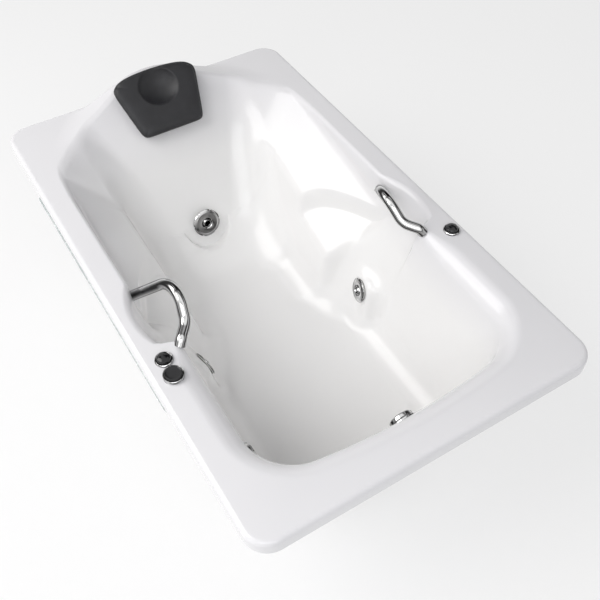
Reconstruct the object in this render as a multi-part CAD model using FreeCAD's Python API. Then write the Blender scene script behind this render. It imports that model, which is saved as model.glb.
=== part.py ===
import FreeCAD, Part
import os
from math import sin, cos, tan, radians, hypot, sqrt, pi

# Drop-in jetted bath, 1524 x 914 mm at the rim.
# Frame: +Z up, z = 0 at the floor it stands on, x = y = 0 at the centre of the rim.
# +Y is the head end. Heights called "deep" are measured from the deck, negative downwards.

V = FreeCAD.Vector
os.makedirs("parts", exist_ok=True)

# ---------------------------------------------------------------- driving sizes
RIM_LENGTH = 1524.0
RIM_WIDTH = 914.0
RIM_Z = 508.0              # deck height above the floor
WALL = 7.0                 # acrylic with its glass-fibre backing
PAD_DEPTH = 5.0            # extra backing under the flat pads of the fittings
LIP_DEPTH = 40.0
RIM_CORNER = 60.0
RIM_EDGE = 12.0            # rounding of the rim's upper edge
SEAT_CLEAR = 0.3           # clearance of pieces that sit without being glued

BASIN_DEPTH = 425.0
FOOT_WALL_Y = -651.0       # foot wall carried up to the deck
FOOT_BOW = 0.00028         # bow of the foot wall, per mm
FOOT_DRAFT = 0.15
SIDE_FOOT = 354.0          # half width of the foot well, carried up to the deck
SIDE_FOOT_DRAFT = 0.2056
SIDE_HEAD = 385.0          # half width above the arm rests
SIDE_HEAD_DRAFT = 0.05
HIP_HALF = 250.0           # half width between the arm rests at HIP_DEEP
HIP_DEEP = -140.0
HIP_DRAFT = 0.23
BACK_FOOT = (565.0, -58.0) # where the back rest turns into the raised head
BACK_SLOPE = 57.0
HEAD_SLOPE = 40.0
SEAT_POINT = (100.0, -411.0)
SEAT_SLOPE = 3.0
HUMP_HEIGHT = 84.0
HUMP_HALF = 262.0
HUMP_START = 560.0
SCOOP_Y = -104.0           # centre of the hand scoop under each grab bar
SCOOP_REACH = 418.0
SCOOP_RADIUS = 222.0
SCOOP_SLOPE = 0.48
SCOOP_END = -185.0         # where the scoop closes towards the foot
ARM_STEP = 45.0            # step down in front of each arm rest
ROLL_FOOT = 45.0           # roll of the deck edge round the foot well
ROLL_HEAD = 12.0


def deep(d):
    return RIM_Z + d


# ---------------------------------------------------------------- the moulded surface
def join_max(a, b, r):
    # larger of two distances, with a fillet of radius r where they meet
    return min(max(a, b), -r) + hypot(max(a + r, 0.0), max(b + r, 0.0))


def join_min(a, b, r):
    return -join_max(-a, -b, r)


def blend_max(a, b, k):
    # larger of two distances that meet at a shallow angle, eased over k
    return max(a, b) + max(k - abs(a - b), 0.0) ** 2 / (4.0 * k)


def blend_min(a, b, k):
    return -blend_max(-a, -b, k)


def ease(t):
    t = min(max(t, 0.0), 1.0)
    return t * t * (3.0 - 2.0 * t)


def hump(x, y):
    # height of the raised head above the deck
    half = HUMP_HALF + max(0.0, RIM_LENGTH / 2 - 5.0 - y) * 0.75
    ends = ease((RIM_LENGTH / 2 - y) / 30.0) * ease((y - HUMP_START) / 110.0)
    return HUMP_HEIGHT * ease((half - abs(x)) / half) * ends


def under_slope(y, z, point, degrees):
    # distance below a plane that rises towards the head
    a = radians(degrees)
    return (y - point[0]) * sin(a) - (z - point[1]) * cos(a)


def lower_wall(y, z):
    # half width below the arm rests, easing out from the hips to the foot well
    hip = HIP_HALF + HIP_DRAFT * (z - HIP_DEEP)
    foot = SIDE_FOOT + SIDE_FOOT_DRAFT * z
    turn = -30.0 + 0.25 * (z + 123.0)
    return hip + (foot - hip) * ease((turn + 80.0 - y) / 160.0)


def basin(x, y, z):
    # distance outside the hollow of the bath, with z measured from the deck
    half = abs(x)
    low = (half - lower_wall(y, z)) * 0.975
    rest = (0.8 * (half - 350.0) - 0.1873 * (555.0 - y) - 15.0 - z) / 1.294
    fold = 205.0 - 0.0118 * max(0.0, half - 235.0) ** 2
    rest = rest - ARM_STEP * ease((fold - y) / 40.0 + 0.5) / 1.294 + max(0.0, -y) * 0.6
    upper = half - (SIDE_HEAD + SIDE_HEAD_DRAFT * z)
    head_side = join_max(join_min(low, rest, 10.0), upper, 14.0)
    foot_side = (half - (SIDE_FOOT + SIDE_FOOT_DRAFT * z)) * 0.9795
    along = ease((-20.0 - y) / 120.0)
    side = head_side * (1.0 - along) + foot_side * along
    off = abs(y - SCOOP_Y)
    reach = SCOOP_REACH + SCOOP_SLOPE * z - off ** 2 / (2.0 * SCOOP_RADIUS)
    reach = reach - max(0.0, off - 100.0) ** 2 / 60.0 - max(0.0, SCOOP_END - y) ** 2 / 12.0
    side = join_min(side, (half - reach) * 0.9, 18.0)
    back = under_slope(y, z, BACK_FOOT, BACK_SLOPE)
    back = blend_min(back, under_slope(y, z, BACK_FOOT, HEAD_SLOPE), 18.0)
    head = blend_max(back, under_slope(y, z, SEAT_POINT, SEAT_SLOPE), 130.0)
    head = blend_max(head, -BASIN_DEPTH - z, 8.0)
    foot_wall = (FOOT_WALL_Y - FOOT_DRAFT * z + FOOT_BOW * half * half - y) * 0.985
    plan = join_max(side, foot_wall, 105.0)
    return join_max(plan, head, 110.0 - 40.0 * ease((200.0 - y) / 60.0 + 0.5))


def acrylic(x, y, z):
    # depth inside the acrylic below its finished face, negative outside it
    roll = ROLL_FOOT - (ROLL_FOOT - ROLL_HEAD) * ease((y + 340.0) / 150.0)
    return join_min(basin(x, y, z), hump(x, y) - z, roll)


def travel(start, way, depth, reach):
    # how far along way from start the acrylic is first met at this depth
    def at(s):
        return acrylic(start[0] + way[0] * s, start[1] + way[1] * s, start[2] + way[2] * s) - depth
    step = reach / 60.0
    far = step
    while at(far) < 0.0 and far < reach:
        far += step
    near = far - step
    for _ in range(22):
        mid = (near + far) / 2.0
        if at(mid) < 0.0:
            near = mid
        else:
            far = mid
    return (near + far) / 2.0


# ---------------------------------------------------------------- small makers
def place(shape, base, way):
    # carry a piece made along +Z to its base point, turned to face way
    out = shape.copy()
    turn = FreeCAD.Rotation(V(0, 0, 1), V(*way))
    out.Placement = FreeCAD.Placement(V(*base), turn).multiply(shape.Placement)
    return out


def rod(r, h, base=(0, 0, 0), way=(0, 0, 1)):
    return place(Part.makeCylinder(r, h), base, way)


def ring(r_out, r_in, h, base=(0, 0, 0), way=(0, 0, 1)):
    body = Part.makeCylinder(r_out, h)
    hole = Part.makeCylinder(r_in, h + 2, V(0, 0, -1))
    return place(body.cut(hole), base, way)


def turned(outline):
    # solid of revolution about +Z from (radius, height) corners
    points = [V(r, 0, z) for r, z in outline]
    face = Part.Face(Part.makePolygon(points + points[:1]))
    return face.revolve(V(0, 0, 0), V(0, 0, 1), 360)


def nut(across, h, hole):
    corners = [V(across / sqrt(3) * cos(radians(a)), across / sqrt(3) * sin(radians(a)), 0)
               for a in range(0, 360, 60)]
    body = Part.Face(Part.makePolygon(corners + corners[:1])).extrude(V(0, 0, h))
    return body.cut(Part.makeCylinder(hole, h + 2, V(0, 0, -1)))


def block(low, high):
    size = [high[i] - low[i] for i in range(3)]
    return Part.makeBox(size[0], size[1], size[2], V(*low))


def route(points, bends):
    # straight runs joined by tangent arcs of one radius, or of one radius for each corner
    p = [V(*q) for q in points]
    radii = bends if isinstance(bends, tuple) else (bends,) * (len(p) - 2)
    edges = []
    here = p[0]
    for i, bend in enumerate(radii, 1):
        a = (p[i - 1] - p[i]).normalize()
        b = (p[i + 1] - p[i]).normalize()
        turn = pi - a.getAngle(b)
        back = bend * tan(turn / 2)
        start = p[i] + a * back
        end = p[i] + b * back
        middle = p[i] + (a + b).normalize() * (bend / cos(turn / 2) - bend)
        edges.append(Part.LineSegment(here, start).toShape())
        edges.append(Part.Arc(start, middle, end).toShape())
        here = end
    edges.append(Part.LineSegment(here, p[-1]).toShape())
    return Part.Wire(edges)


def run_body(points, r, bend):
    # solid rod of radius r along a bent run
    edge = Part.makeCircle(r, V(*points[0]), V(*points[1]) - V(*points[0]))
    return route(points, bend).makePipeShell([Part.Wire([edge])], True, False)


def pipe(points, r_out, r_in, bend):
    return run_body(points, r_out, bend).cut(run_body(points, r_in, bend))


def merge(shapes):
    body = shapes[0]
    for other in shapes[1:]:
        body = body.fuse(other)
    return body.removeSplitter()


def write(name, shape):
    solids = shape.Solids
    out = solids[0] if len(solids) == 1 else Part.makeCompound(solids)
    out.exportStep("parts/" + name + ".step")
    print(name, len(solids), round(out.Volume / 1000, 1), out.isValid())


# ---------------------------------------------------------------- the moulded skins
CENTRE_Y = -330.0          # each level's outline is swept round an upright line at x = 0 here
SIDES = 60                 # straight sides in each level's outline
HEAD_HALF = 316.0          # the raised head's block under its moulded face
HEAD_START = 602.0
HEAD_LOW = -60.0
HEAD_BACK_LOW = -34.0
HEAD_ROWS = (616, 634, 654, 678, 705, 728, 738, 747, 755)
TOP_LEVELS = (-424.5, -412, -385, -335, -270, -225, -195, -168, -143, -118, -90, -62, -38, -19, -7, 0)


def aim(share):
    # target on a rectangle round the hollow's mouth, at this share of its outline
    w, low, high = SIDE_HEAD, FOOT_WALL_Y, RIM_LENGTH / 2 - 150.0
    run = share * 2 * (2 * w + high - low)
    corners = ((0, low), (w, low), (w, high), (-w, high), (-w, low), (0, low))
    for (ax, ay), (bx, by) in zip(corners, corners[1:]):
        length = hypot(bx - ax, by - ay)
        if run <= length:
            break
        run -= length
    return ax + (bx - ax) * run / length, ay + (by - ay) * run / length


def section(z, depth):
    # closed outline of the mould at this level, through points of its surface
    level = min(z, -0.3 - 1.1 * depth)
    points = []
    for i in range(SIDES):
        x, y = aim((i + 0.5) / SIDES)
        way = V(x, y - CENTRE_Y, 0).normalize()
        s = travel((0.0, CENTRE_Y, level), way, depth, 1100.0)
        points.append(V(way.x * s, CENTRE_Y + way.y * s, deep(z)))
    return points


def folded(a, b, c, d, flip):
    # two flat faces over the four-sided patch a b c d
    halves = ((b, c, d), (b, d, a)) if flip else ((a, b, c), (a, c, d))
    return [Part.Face(Part.makePolygon(list(half) + [half[0]])) for half in halves]


def flat(points):
    return Part.Face(Part.makePolygon(list(points) + [points[0]]))


def closed(faces):
    shell = Part.makeShell(faces)
    shell.sewShape()
    body = Part.makeSolid(shell)
    if body.Volume < 0:
        body.reverse()
    return body


def basin_mould(levels, depth):
    # closed body between the outlines, with each four-sided patch folded on its diagonal
    rows = [section(z, depth) for z in levels]
    faces = [flat(rows[0]), flat(rows[-1])]
    for lower, upper in zip(rows, rows[1:]):
        for i in range(SIDES):
            j = (i + 1) % SIDES
            faces += folded(lower[i], lower[j], upper[j], upper[i], i < SIDES / 2)
    return closed(faces)


def rim_prism(inset, low, high):
    w = RIM_WIDTH / 2 - inset
    l = RIM_LENGTH / 2 - inset
    body = block((-w, -l, low), (w, l, high))
    upright = [e for e in body.Edges if abs(e.tangentAt(e.FirstParameter).z) > 0.9]
    return body.makeFillet(RIM_CORNER - inset, upright)


def soften_top(body, r):
    top = body.BoundBox.ZMax
    edges = [e for e in body.Edges if e.BoundBox.ZMin > top - 0.01]
    return body.makeFillet(r, edges)


def head_face(x, y, depth):
    # height of the raised head at this depth below its moulded face
    heights = []
    for k in range(8):
        side_x = x + depth * cos(pi * k / 4)
        side_y = y + depth * sin(pi * k / 4)
        heights.append(130.0 - travel((side_x, side_y, 130.0), (0, 0, -1), 0.0, 300.0))
    here = 130.0 - travel((x, y, 130.0), (0, 0, -1), 0.0, 300.0)
    return min(heights + [here - depth])


def head_block(depth, margin, end):
    # the raised head: everything under its moulded face, down to below the deck
    xs = [(HEAD_HALF + margin) * (i - 7) / 7.0 for i in range(15)]
    ys = [HEAD_START - margin] + [y for y in HEAD_ROWS if y < end - 2] + [end]
    low = deep(HEAD_LOW - margin)
    grid = [[V(x, y, deep(head_face(x, y, depth))) for y in ys] for x in xs]
    faces = []
    for i in range(14):
        for j in range(len(ys) - 1):
            faces += folded(grid[i][j], grid[i + 1][j], grid[i + 1][j + 1], grid[i][j + 1], i < 7)
    back = deep(HEAD_BACK_LOW - margin)
    corners = [V(xs[0], ys[0], low), V(xs[-1], ys[0], low), V(xs[-1], ys[-1], back), V(xs[0], ys[-1], back)]
    faces.append(flat(corners))
    faces.append(flat([corners[0]] + [row[0] for row in grid] + [corners[1]]))
    faces.append(flat([corners[3]] + [row[-1] for row in grid] + [corners[2]]))
    faces.append(flat([corners[0]] + grid[0] + [corners[3]]))
    faces.append(flat([corners[1]] + grid[-1] + [corners[2]]))
    return closed(faces)


def spot(pos, way, r, wall_depth):
    # flat pad on the mould where a fitting is clamped: what it adds and what it clears
    base = V(*pos) - V(*way) * wall_depth
    turn = FreeCAD.Rotation(V(0, 0, 1), 72.0)
    shapes = []
    for radius, length, start in ((r, wall_depth, base), (r + 1.0, 60.0, pos)):
        body = Part.makeCylinder(radius, length)
        body.Placement = FreeCAD.Placement(V(0, 0, 0), turn)
        shapes.append(place(body, start, way))
    return shapes


# ---------------------------------------------------------------- where the fittings sit
def unit(x, y, z):
    return tuple(V(x, y, z).normalize())


SIDE_JET_AT = (261.0, -95.0, deep(-307.0))
SIDE_JET_WAY = unit(-0.955, 0.2, 0.2)
BACK_JET_AT = (0.0, 400.0, deep(-303.0))
BACK_JET_TILT = 70.0       # slope of the flat face in the back rest's recess
BACK_JET_WAY = (0.0, -sin(radians(BACK_JET_TILT)), cos(radians(BACK_JET_TILT)))
RECESS_HALF = 72.0
RECESS_RISE = 150.0
SUCTION_AT = (-282.5, -400.0, deep(-345.0))
SUCTION_WAY = unit(1.0, 0.0, 0.2)
OVERFLOW_AT = (0.0, -637.5, deep(-82.0))
OVERFLOW_WAY = unit(0.0, 1.0, 0.15)
DRAIN_AT = (0.0, -520.0, deep(-BASIN_DEPTH - 2.0))
BUTTON_AT = (-408.0, -298.0, RIM_Z)
AIR_AT = ((-408.0, -246.0, RIM_Z), (420.0, -260.0, RIM_Z))

JET_HOLE = 26.0
SIDE_JET_R = 37.0
BACK_JET_R = 45.0
BOSS_R = 44.0              # face of the raised boss that carries each side jet
SUCTION_HOLE = 30.0
SUCTION_R = 48.0
DRAIN_HOLE = 24.0
DRAIN_R = 36.0
OVERFLOW_HOLE = 24.0
OVERFLOW_R = 37.0
DECK_HOLE = 15.0

HOLLOW = basin_mould(TOP_LEVELS, 0.0)
BAR_R = 14.0
# centre line of the right bar, from the wall under the deck at its head end to the deck's edge
BAR_PATH = ((386.0, 15.0, deep(-47.5)), (313.0, -78.0, deep(54.5)), (307.0, -133.0, deep(54.5)),
            (318.0, -180.0, deep(12.0)), (348.0, -214.0, deep(4.5)), (357.0, -221.0, deep(-8.0)))
BAR_BENDS = (62.0, 60.0, 50.0, 16.0)
STUD_R = 4.0
STUD_OUT = 21.0            # how far the studs stand out behind their seats
NUT_OUT = 8.5
NUT_R = 7.5

PEG_R = 4.0
PEG_X = (-55.0, 55.0)
PEG_Y = 622.0
PEG_WAY = (0.0, -sin(radians(HEAD_SLOPE)), cos(radians(HEAD_SLOPE)))

JETS = [("right", SIDE_JET_AT, SIDE_JET_WAY, SIDE_JET_R),
        ("left", (-SIDE_JET_AT[0], SIDE_JET_AT[1], SIDE_JET_AT[2]),
         (-SIDE_JET_WAY[0], SIDE_JET_WAY[1], SIDE_JET_WAY[2]), SIDE_JET_R),
        ("back", BACK_JET_AT, BACK_JET_WAY, BACK_JET_R)]


def bar_run(side):
    # corners of a bar's centre line, with its ends on the moulded surface
    points = [V(side * x, y, z) for x, y, z in BAR_PATH]
    for end, inner in ((0, 1), (-1, -2)):
        way = (points[end] - points[inner]).normalize()
        start = points[inner] + way * 5.0
        inside = Part.makeLine(start, start + way * 190.0).common(HOLLOW)
        points[end] = max((v.Point for v in inside.Vertexes), key=lambda point: (point - start).Length)
    return points


def stud_spots(side):
    # where each stud crosses the moulded surface, and its way square out of the wall
    points = bar_run(side)
    spots = []
    for seat, inner in ((points[0], points[1]), (points[-1], points[-2])):
        probe = seat + (seat - inner).normalize() * 6.0
        near = HOLLOW.distToShape(Part.Vertex(probe))[1][0][0]
        spots.append((seat, (probe - near).normalize()))
    return spots


BAR_SPOTS = stud_spots(1) + stud_spots(-1)


def peg_seat(x):
    # point on the raised head where a pillow peg goes through
    s = travel((x, PEG_Y, 130.0), (0, 0, -1), 0.0, 400.0)
    return V(x, PEG_Y, deep(130.0 - s))


# ---------------------------------------------------------------- bath shell pieces
def recess(grow, low, high):
    # U-shaped recess round the back jet, open towards the head
    r = RECESS_HALF + grow
    bottom = Part.makeCylinder(r, high - low, V(0, 0, low))
    upper = Part.makeBox(2 * r, RECESS_RISE + grow, high - low, V(-r, 0, low))
    body = bottom.fuse(upper).removeSplitter()
    tilt = FreeCAD.Rotation(V(1, 0, 0), BACK_JET_TILT)
    body.Placement = FreeCAD.Placement(V(*BACK_JET_AT), tilt)
    return body


def mould_back():
    return basin_mould([z - WALL for z in TOP_LEVELS[:-1]] + [-WALL / 2], WALL)


def boss(pos, way, front, back, near, far):
    # tapered body behind a side jet's pad, between two depths below its face
    body = Part.makeCone(back, front, far - near, V(0, 0, -far))
    return place(body, pos, way)


def tub_shell():
    pads = [recess(WALL, -WALL, 20.0)]
    clear = [recess(0.0, 0.0, 70.0)]
    holes = []
    flats = [(pos, way, r + 3.0) for _, pos, way, r in JETS[:2]]
    flats += [(SUCTION_AT, SUCTION_WAY, SUCTION_R + 2.0), (OVERFLOW_AT, OVERFLOW_WAY, OVERFLOW_R + 2.0),
              (DRAIN_AT, (0, 0, 1), DRAIN_R + 2.0)]
    through = [(pos, way, JET_HOLE) for _, pos, way, _ in JETS]
    through += [(SUCTION_AT, SUCTION_WAY, SUCTION_HOLE), (OVERFLOW_AT, OVERFLOW_WAY, OVERFLOW_HOLE),
                (DRAIN_AT, (0, 0, 1), DRAIN_HOLE)]
    through += [(pos, (0, 0, 1), DECK_HOLE) for pos in (BUTTON_AT,) + AIR_AT]
    through += [(seat, way, STUD_R) for seat, way in BAR_SPOTS]
    for pos, way, r in flats:
        pad, air = spot(pos, way, r, WALL + PAD_DEPTH)
        pads.append(pad)
        clear.append(air)
    for pos, way, hole in through:
        holes.append(rod(hole + SEAT_CLEAR, 50.0, V(*pos) - V(*way) * 25.0, way))
    behind = WALL + PAD_DEPTH + 60.0
    spots = [(BACK_JET_AT, BACK_JET_WAY, JET_HOLE + 9.0), (OVERFLOW_AT, OVERFLOW_WAY, OVERFLOW_R - 1.0),
             (SUCTION_AT, SUCTION_WAY, SUCTION_HOLE + 9.0)]
    for pos, way, r in spots:
        clear.append(rod(r, 60.0, V(*pos) - V(*way) * behind, way))
    for seat, way in BAR_SPOTS:
        clear.append(rod(NUT_R + 2.5, 40.0, seat + way * (NUT_OUT - 0.2), way))
    for x in PEG_X:
        holes.append(rod(PEG_R + SEAT_CLEAR, 60.0, peg_seat(x) - V(*PEG_WAY) * 30.0, PEG_WAY))
    rim = soften_top(rim_prism(0.0, deep(-LIP_DEPTH), RIM_Z), RIM_EDGE)
    under = soften_top(rim_prism(WALL, deep(-LIP_DEPTH) - 1, deep(-WALL)), RIM_EDGE - 5.0)
    body = rim.cut(under).fuse([mould_back(), head_block(1.0, 0.0, RIM_LENGTH / 2 - 2.0)] + pads)
    bosses = [boss(pos, way, BOSS_R, BOSS_R + 18.0, 0.0, 75.0) for _, pos, way, _ in JETS[:2]]
    for _, pos, way, _ in JETS[:2]:
        near = WALL + PAD_DEPTH
        clear.append(boss(pos, way, BOSS_R - 7.0 + near * 0.24, BOSS_R + 11.0 + 3.6, near, 90.0))
    hollow = HOLLOW.cut(bosses)
    head_hollow = head_block(WALL + 1.0, 3.0, RIM_LENGTH / 2 - WALL - 2.0)
    return body.cut([hollow, head_hollow] + clear + holes)


# ---------------------------------------------------------------- wall fittings
# Each is made with +Z pointing into the water and z = 0 on the bath's flat pad.
BACKED = WALL + PAD_DEPTH + SEAT_CLEAR     # depth of the far side of a pad
GASKET = 1.5
FLANGE = 3.0
NECK_WALL = 4.0


def wall_gasket(hole):
    return ring(hole + 8.0, hole + SEAT_CLEAR, GASKET)


def wall_fitting(hole, flange_r, reach):
    # flange in the water, threaded neck through the wall
    bore = hole - NECK_WALL
    neck = ring(hole, bore, reach + GASKET + FLANGE, (0, 0, -reach))
    return merge([neck, ring(flange_r, bore, FLANGE, (0, 0, GASKET))])


def housing(hole, reach, length):
    # cup that screws onto the neck and clamps the wall
    cup = ring(hole + 7.0, hole + SEAT_CLEAR, reach - BACKED + 0.5, (0, 0, -reach - 0.5))
    floor = Part.makeCylinder(hole + 7.0, length, V(0, 0, -reach - 0.5 - length))
    room = Part.makeCylinder(hole - NECK_WALL, length - 5.0, V(0, 0, -reach - 0.5 - length + 5.0))
    return merge([cup, floor]).cut(room)


JET_REACH = 32.0
JET_ROOM = 44.0
PORT_R = 19.0              # outside of a jet's water ports
PORT_BORE = 15.5
PORT_DEEP = -JET_REACH - 22.0
PORT_OUT = 50.0
AIR_PORT_R = 7.0
BALL_R = 16.0
BALL_Z = 1.0


JET_END = -JET_REACH - 0.5 - JET_ROOM
NIPPLE = 18.0


def jet_housing(water_side, air_way):
    # water_side is the local X side that takes the pipe; air_way is where its nipple points
    body = housing(JET_HOLE, JET_REACH, JET_ROOM)
    body = body.fuse(rod(PORT_R, PORT_OUT, (0, 0, PORT_DEEP), (water_side, 0, 0)))
    if air_way[2]:
        start, run = (0, 0, JET_END + 4.0), NIPPLE + 4.0
    else:
        start, run = (0, 0, PORT_DEEP), JET_HOLE + 7.0 + NIPPLE
    body = body.fuse(rod(AIR_PORT_R, run, start, air_way))
    bores = [rod(PORT_BORE, PORT_OUT + 2, (0, 0, PORT_DEEP), (water_side, 0, 0)),
             rod(AIR_PORT_R - 2.5, run + 2, (0, 0, start[2] + 2.0), air_way),
             Part.makeCylinder(JET_HOLE - NECK_WALL, JET_ROOM - 5.0, V(0, 0, JET_END + 5.0)),
             Part.makeCylinder(JET_HOLE + SEAT_CLEAR, JET_REACH, V(0, 0, -JET_REACH - 0.5))]
    return body.cut(bores)


def jet_ring(r):
    # turning trim ring that carries the ball
    z = GASKET + FLANGE + SEAT_CLEAR
    seat = BALL_R + SEAT_CLEAR
    front = z + 8.0
    lip = sqrt(seat ** 2 - (front - 3.0 - BALL_Z) ** 2)
    sleeve = JET_HOLE - NECK_WALL - SEAT_CLEAR
    outline = [(r, z), (r, z + 2), (r - 3, z + 5), (r - 10, front), (lip + 3, front), (lip, front - 3),
               (seat, front - 6), (seat, -12), (sleeve, -12), (sleeve, z)]
    body = turned(outline)
    scallops = [Part.makeCylinder(5.0, 20.0, V((r + 2.5) * cos(a), (r + 2.5) * sin(a), z + 1.5))
                for a in [radians(60 * k) for k in range(6)]]
    return body.cut(scallops)


def jet_nozzle():
    ball = Part.makeSphere(BALL_R, V(0, 0, BALL_Z))
    keep = Part.makeCylinder(BALL_R, BALL_R + 4.0, V(0, 0, BALL_Z - 9.0))
    bore = Part.makeCylinder(6.0, 60.0, V(0, 0, -30.0))
    mouth = Part.makeCone(4.0, 10.0, 8.0, V(0, 0, BALL_Z + 5.0))
    return ball.common(keep).cut([bore, mouth])


# ---------------------------------------------------------------- placing helpers
def frame_at(pos, way, side):
    # placement with local +Z along way and local +X as near as can be to side
    z = V(*way).normalize()
    x = V(*side)
    x = (x - z * x.dot(z)).normalize()
    y = z.cross(x)
    m = FreeCAD.Matrix(x.x, y.x, z.x, pos[0], x.y, y.y, z.y, pos[1], x.z, y.z, z.z, pos[2], 0, 0, 0, 1)
    return FreeCAD.Placement(m)


def settle(shape, frame):
    out = shape.copy()
    out.Placement = frame.multiply(shape.Placement)
    return out


def world(frame, x, y, z):
    return frame.multVec(V(x, y, z))


JET_FRAMES = {"right": frame_at(JETS[0][1], JETS[0][2], (0, -1, 0)),
              "left": frame_at(JETS[1][1], JETS[1][2], (0, 1, 0)),
              "back": frame_at(JETS[2][1], JETS[2][2], (1, 0, 0))}
JET_SIDES = {"right": -1, "left": 1, "back": 1}
SUCTION_FRAME = frame_at(SUCTION_AT, SUCTION_WAY, (0, 1, 0))
OVERFLOW_FRAME = frame_at(OVERFLOW_AT, OVERFLOW_WAY, (1, 0, 0))
DRAIN_FRAME = frame_at(DRAIN_AT, (0, 0, 1), (1, 0, 0))
NECK_TOP = GASKET + FLANGE


# ---------------------------------------------------------------- suction, overflow and drain
SUCTION_REACH = 30.0
SUCTION_ROOM = 58.0
SUCTION_PORT_R = 25.0
SUCTION_BORE = 21.0
SUCTION_DEEP = -SUCTION_REACH - 0.5 - SUCTION_ROOM / 2
SUCTION_OUT = 60.0


def suction_housing():
    body = housing(SUCTION_HOLE, SUCTION_REACH, SUCTION_ROOM)
    body = body.fuse(rod(SUCTION_PORT_R, SUCTION_OUT, (0, 0, SUCTION_DEEP), (1, 0, 0)))
    low = SUCTION_DEEP - SUCTION_ROOM / 2 + 5
    room = Part.makeCylinder(SUCTION_HOLE - NECK_WALL, SUCTION_ROOM - 5, V(0, 0, low))
    cup = Part.makeCylinder(SUCTION_HOLE + SEAT_CLEAR, SUCTION_REACH, V(0, 0, -SUCTION_REACH - 0.5))
    return body.cut([rod(SUCTION_BORE, SUCTION_OUT + 2, (0, 0, SUCTION_DEEP), (1, 0, 0)), room, cup])


def suction_cover():
    # domed cover that clips over the flange, slotted all round
    z = NECK_TOP + SEAT_CLEAR
    r = SUCTION_R
    body = turned([(0, z + 13), (r - 16, z + 12), (r - 4, z + 7), (r, z + 1), (r, z - 2), (r - 2.5, z - 2),
                   (r - 2.5, z), (r - 6, z + 4.5), (r - 17, z + 9), (0, z + 10)])
    hub = Part.makeCylinder(5.0, 12.0, V(0, 0, z))
    slots = []
    for k in range(12):
        slot = block((14.0, -1.6, z - 1), (r - 8.0, 1.6, z + 20))
        slot.rotate(V(0, 0, 0), V(0, 0, 1), 30 * k)
        slots.append(slot)
    return body.fuse(hub).cut(slots)


def suction_fitting():
    # flange with a cross that holds the cover's hub
    body = wall_fitting(SUCTION_HOLE, SUCTION_R - 4.0, SUCTION_REACH)
    arm = SUCTION_HOLE - 2.0
    for way in ((1, 0), (0, 1)):
        low = (-arm * way[0] - 3 * way[1], -arm * way[1] - 3 * way[0], -2)
        high = (arm * way[0] + 3 * way[1], arm * way[1] + 3 * way[0], NECK_TOP)
        body = body.fuse(block(low, high))
    return body.removeSplitter()


OUTLET_Y = -430.0          # upright waste outlet under the bath
WASTE_Z = 40.0             # height of the waste run
WASTE_R = 19.5             # bore of the waste
WASTE_OUT = 24.0           # outside of the waste fittings
DRAIN_REACH = 30.0
DRAIN_ROOM = 32.0
SPILL_R = 14.0             # overflow pipe
SPILL_BORE = 11.5
SPILL_TOP = (0.0, -668.0, 392.0)
SPILL_RUN = (SPILL_TOP, (0.0, -668.0, 360.0), (0.0, -652.0, 262.0), (0.0, -613.0, 130.0), (0.0, -592.0, 42.0),
             (0.0, -546.0, 42.0))
SPILL_BEND = 36.0
STEM_R = 4.0
RUNNING = 0.06             # radial clearance of a running fit


def overflow_elbow():
    neck = Part.makeCylinder(OVERFLOW_HOLE, 48.0, V(0, 0, -47.0))
    clamp = Part.makeCylinder(OVERFLOW_R - 2, 6.0, V(0, 0, -BACKED - 6.0))
    body = settle(neck.fuse(clamp), OVERFLOW_FRAME)
    low = V(*SPILL_TOP) - V(0, 0, 10.0)
    down = rod(SPILL_R + 4.0, 56.0, low)
    bore = settle(Part.makeCylinder(20.0, 44.0, V(0, 0, -42.0)), OVERFLOW_FRAME)
    drop = rod(SPILL_R + SEAT_CLEAR, 40.0, low - V(0, 0, 1.0))
    return body.fuse(down).cut([bore, drop])


def overflow_plate():
    z = 1.0 + SEAT_CLEAR
    r = OVERFLOW_R
    body = turned([(19.0, z), (r, z), (r, z + 3), (r - 4, z + 6), (19.0, z + 6)])
    boss = Part.makeCylinder(8.0, 6.0, V(0, 0, z))
    arms = [block((-20.0, -2.5, z), (20.0, 2.5, z + 5)), block((-2.5, -20.0, z), (2.5, 20.0, z + 5))]
    return body.fuse([boss] + arms).removeSplitter().cut(Part.makeCylinder(STEM_R + RUNNING, 20, V(0, 0, -5)))


def overflow_knob():
    # turning cap with a grip bar, and the spindle that works the stopper
    z = 8.0 + SEAT_CLEAR
    cap = turned([(0, z), (29.0, z), (30.0, z + 2), (30.0, z + 9), (27.0, z + 12), (0, z + 13)])
    spindle = Part.makeCylinder(STEM_R, z + 24.0, V(0, 0, -20.0))
    return cap.fuse(spindle).removeSplitter()


def waste_elbow():
    body = rod(WASTE_OUT, WASTE_Z + 21.0, (0, OUTLET_Y, 3.0))
    body = body.fuse(rod(WASTE_OUT, 46.0, (0, OUTLET_Y, WASTE_Z), (0, -1, 0)))
    return body.cut([rod(WASTE_R, WASTE_Z + 18.0, (0, OUTLET_Y, 0)),
                     rod(WASTE_R, 48.0, (0, OUTLET_Y, WASTE_Z), (0, -1, 0))])


def drain_flange():
    body = wall_fitting(DRAIN_HOLE, DRAIN_R - 2.0, DRAIN_REACH)
    arm = DRAIN_HOLE - 2.0
    spider = [Part.makeCylinder(8.0, 8.0, V(0, 0, -16.0)), block((-arm, -2, -16), (arm, 2, -9)),
              block((-2, -arm, -16), (2, arm, -9))]
    return body.fuse(spider).removeSplitter().cut(Part.makeCylinder(STEM_R + RUNNING, 40, V(0, 0, -30)))


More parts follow.
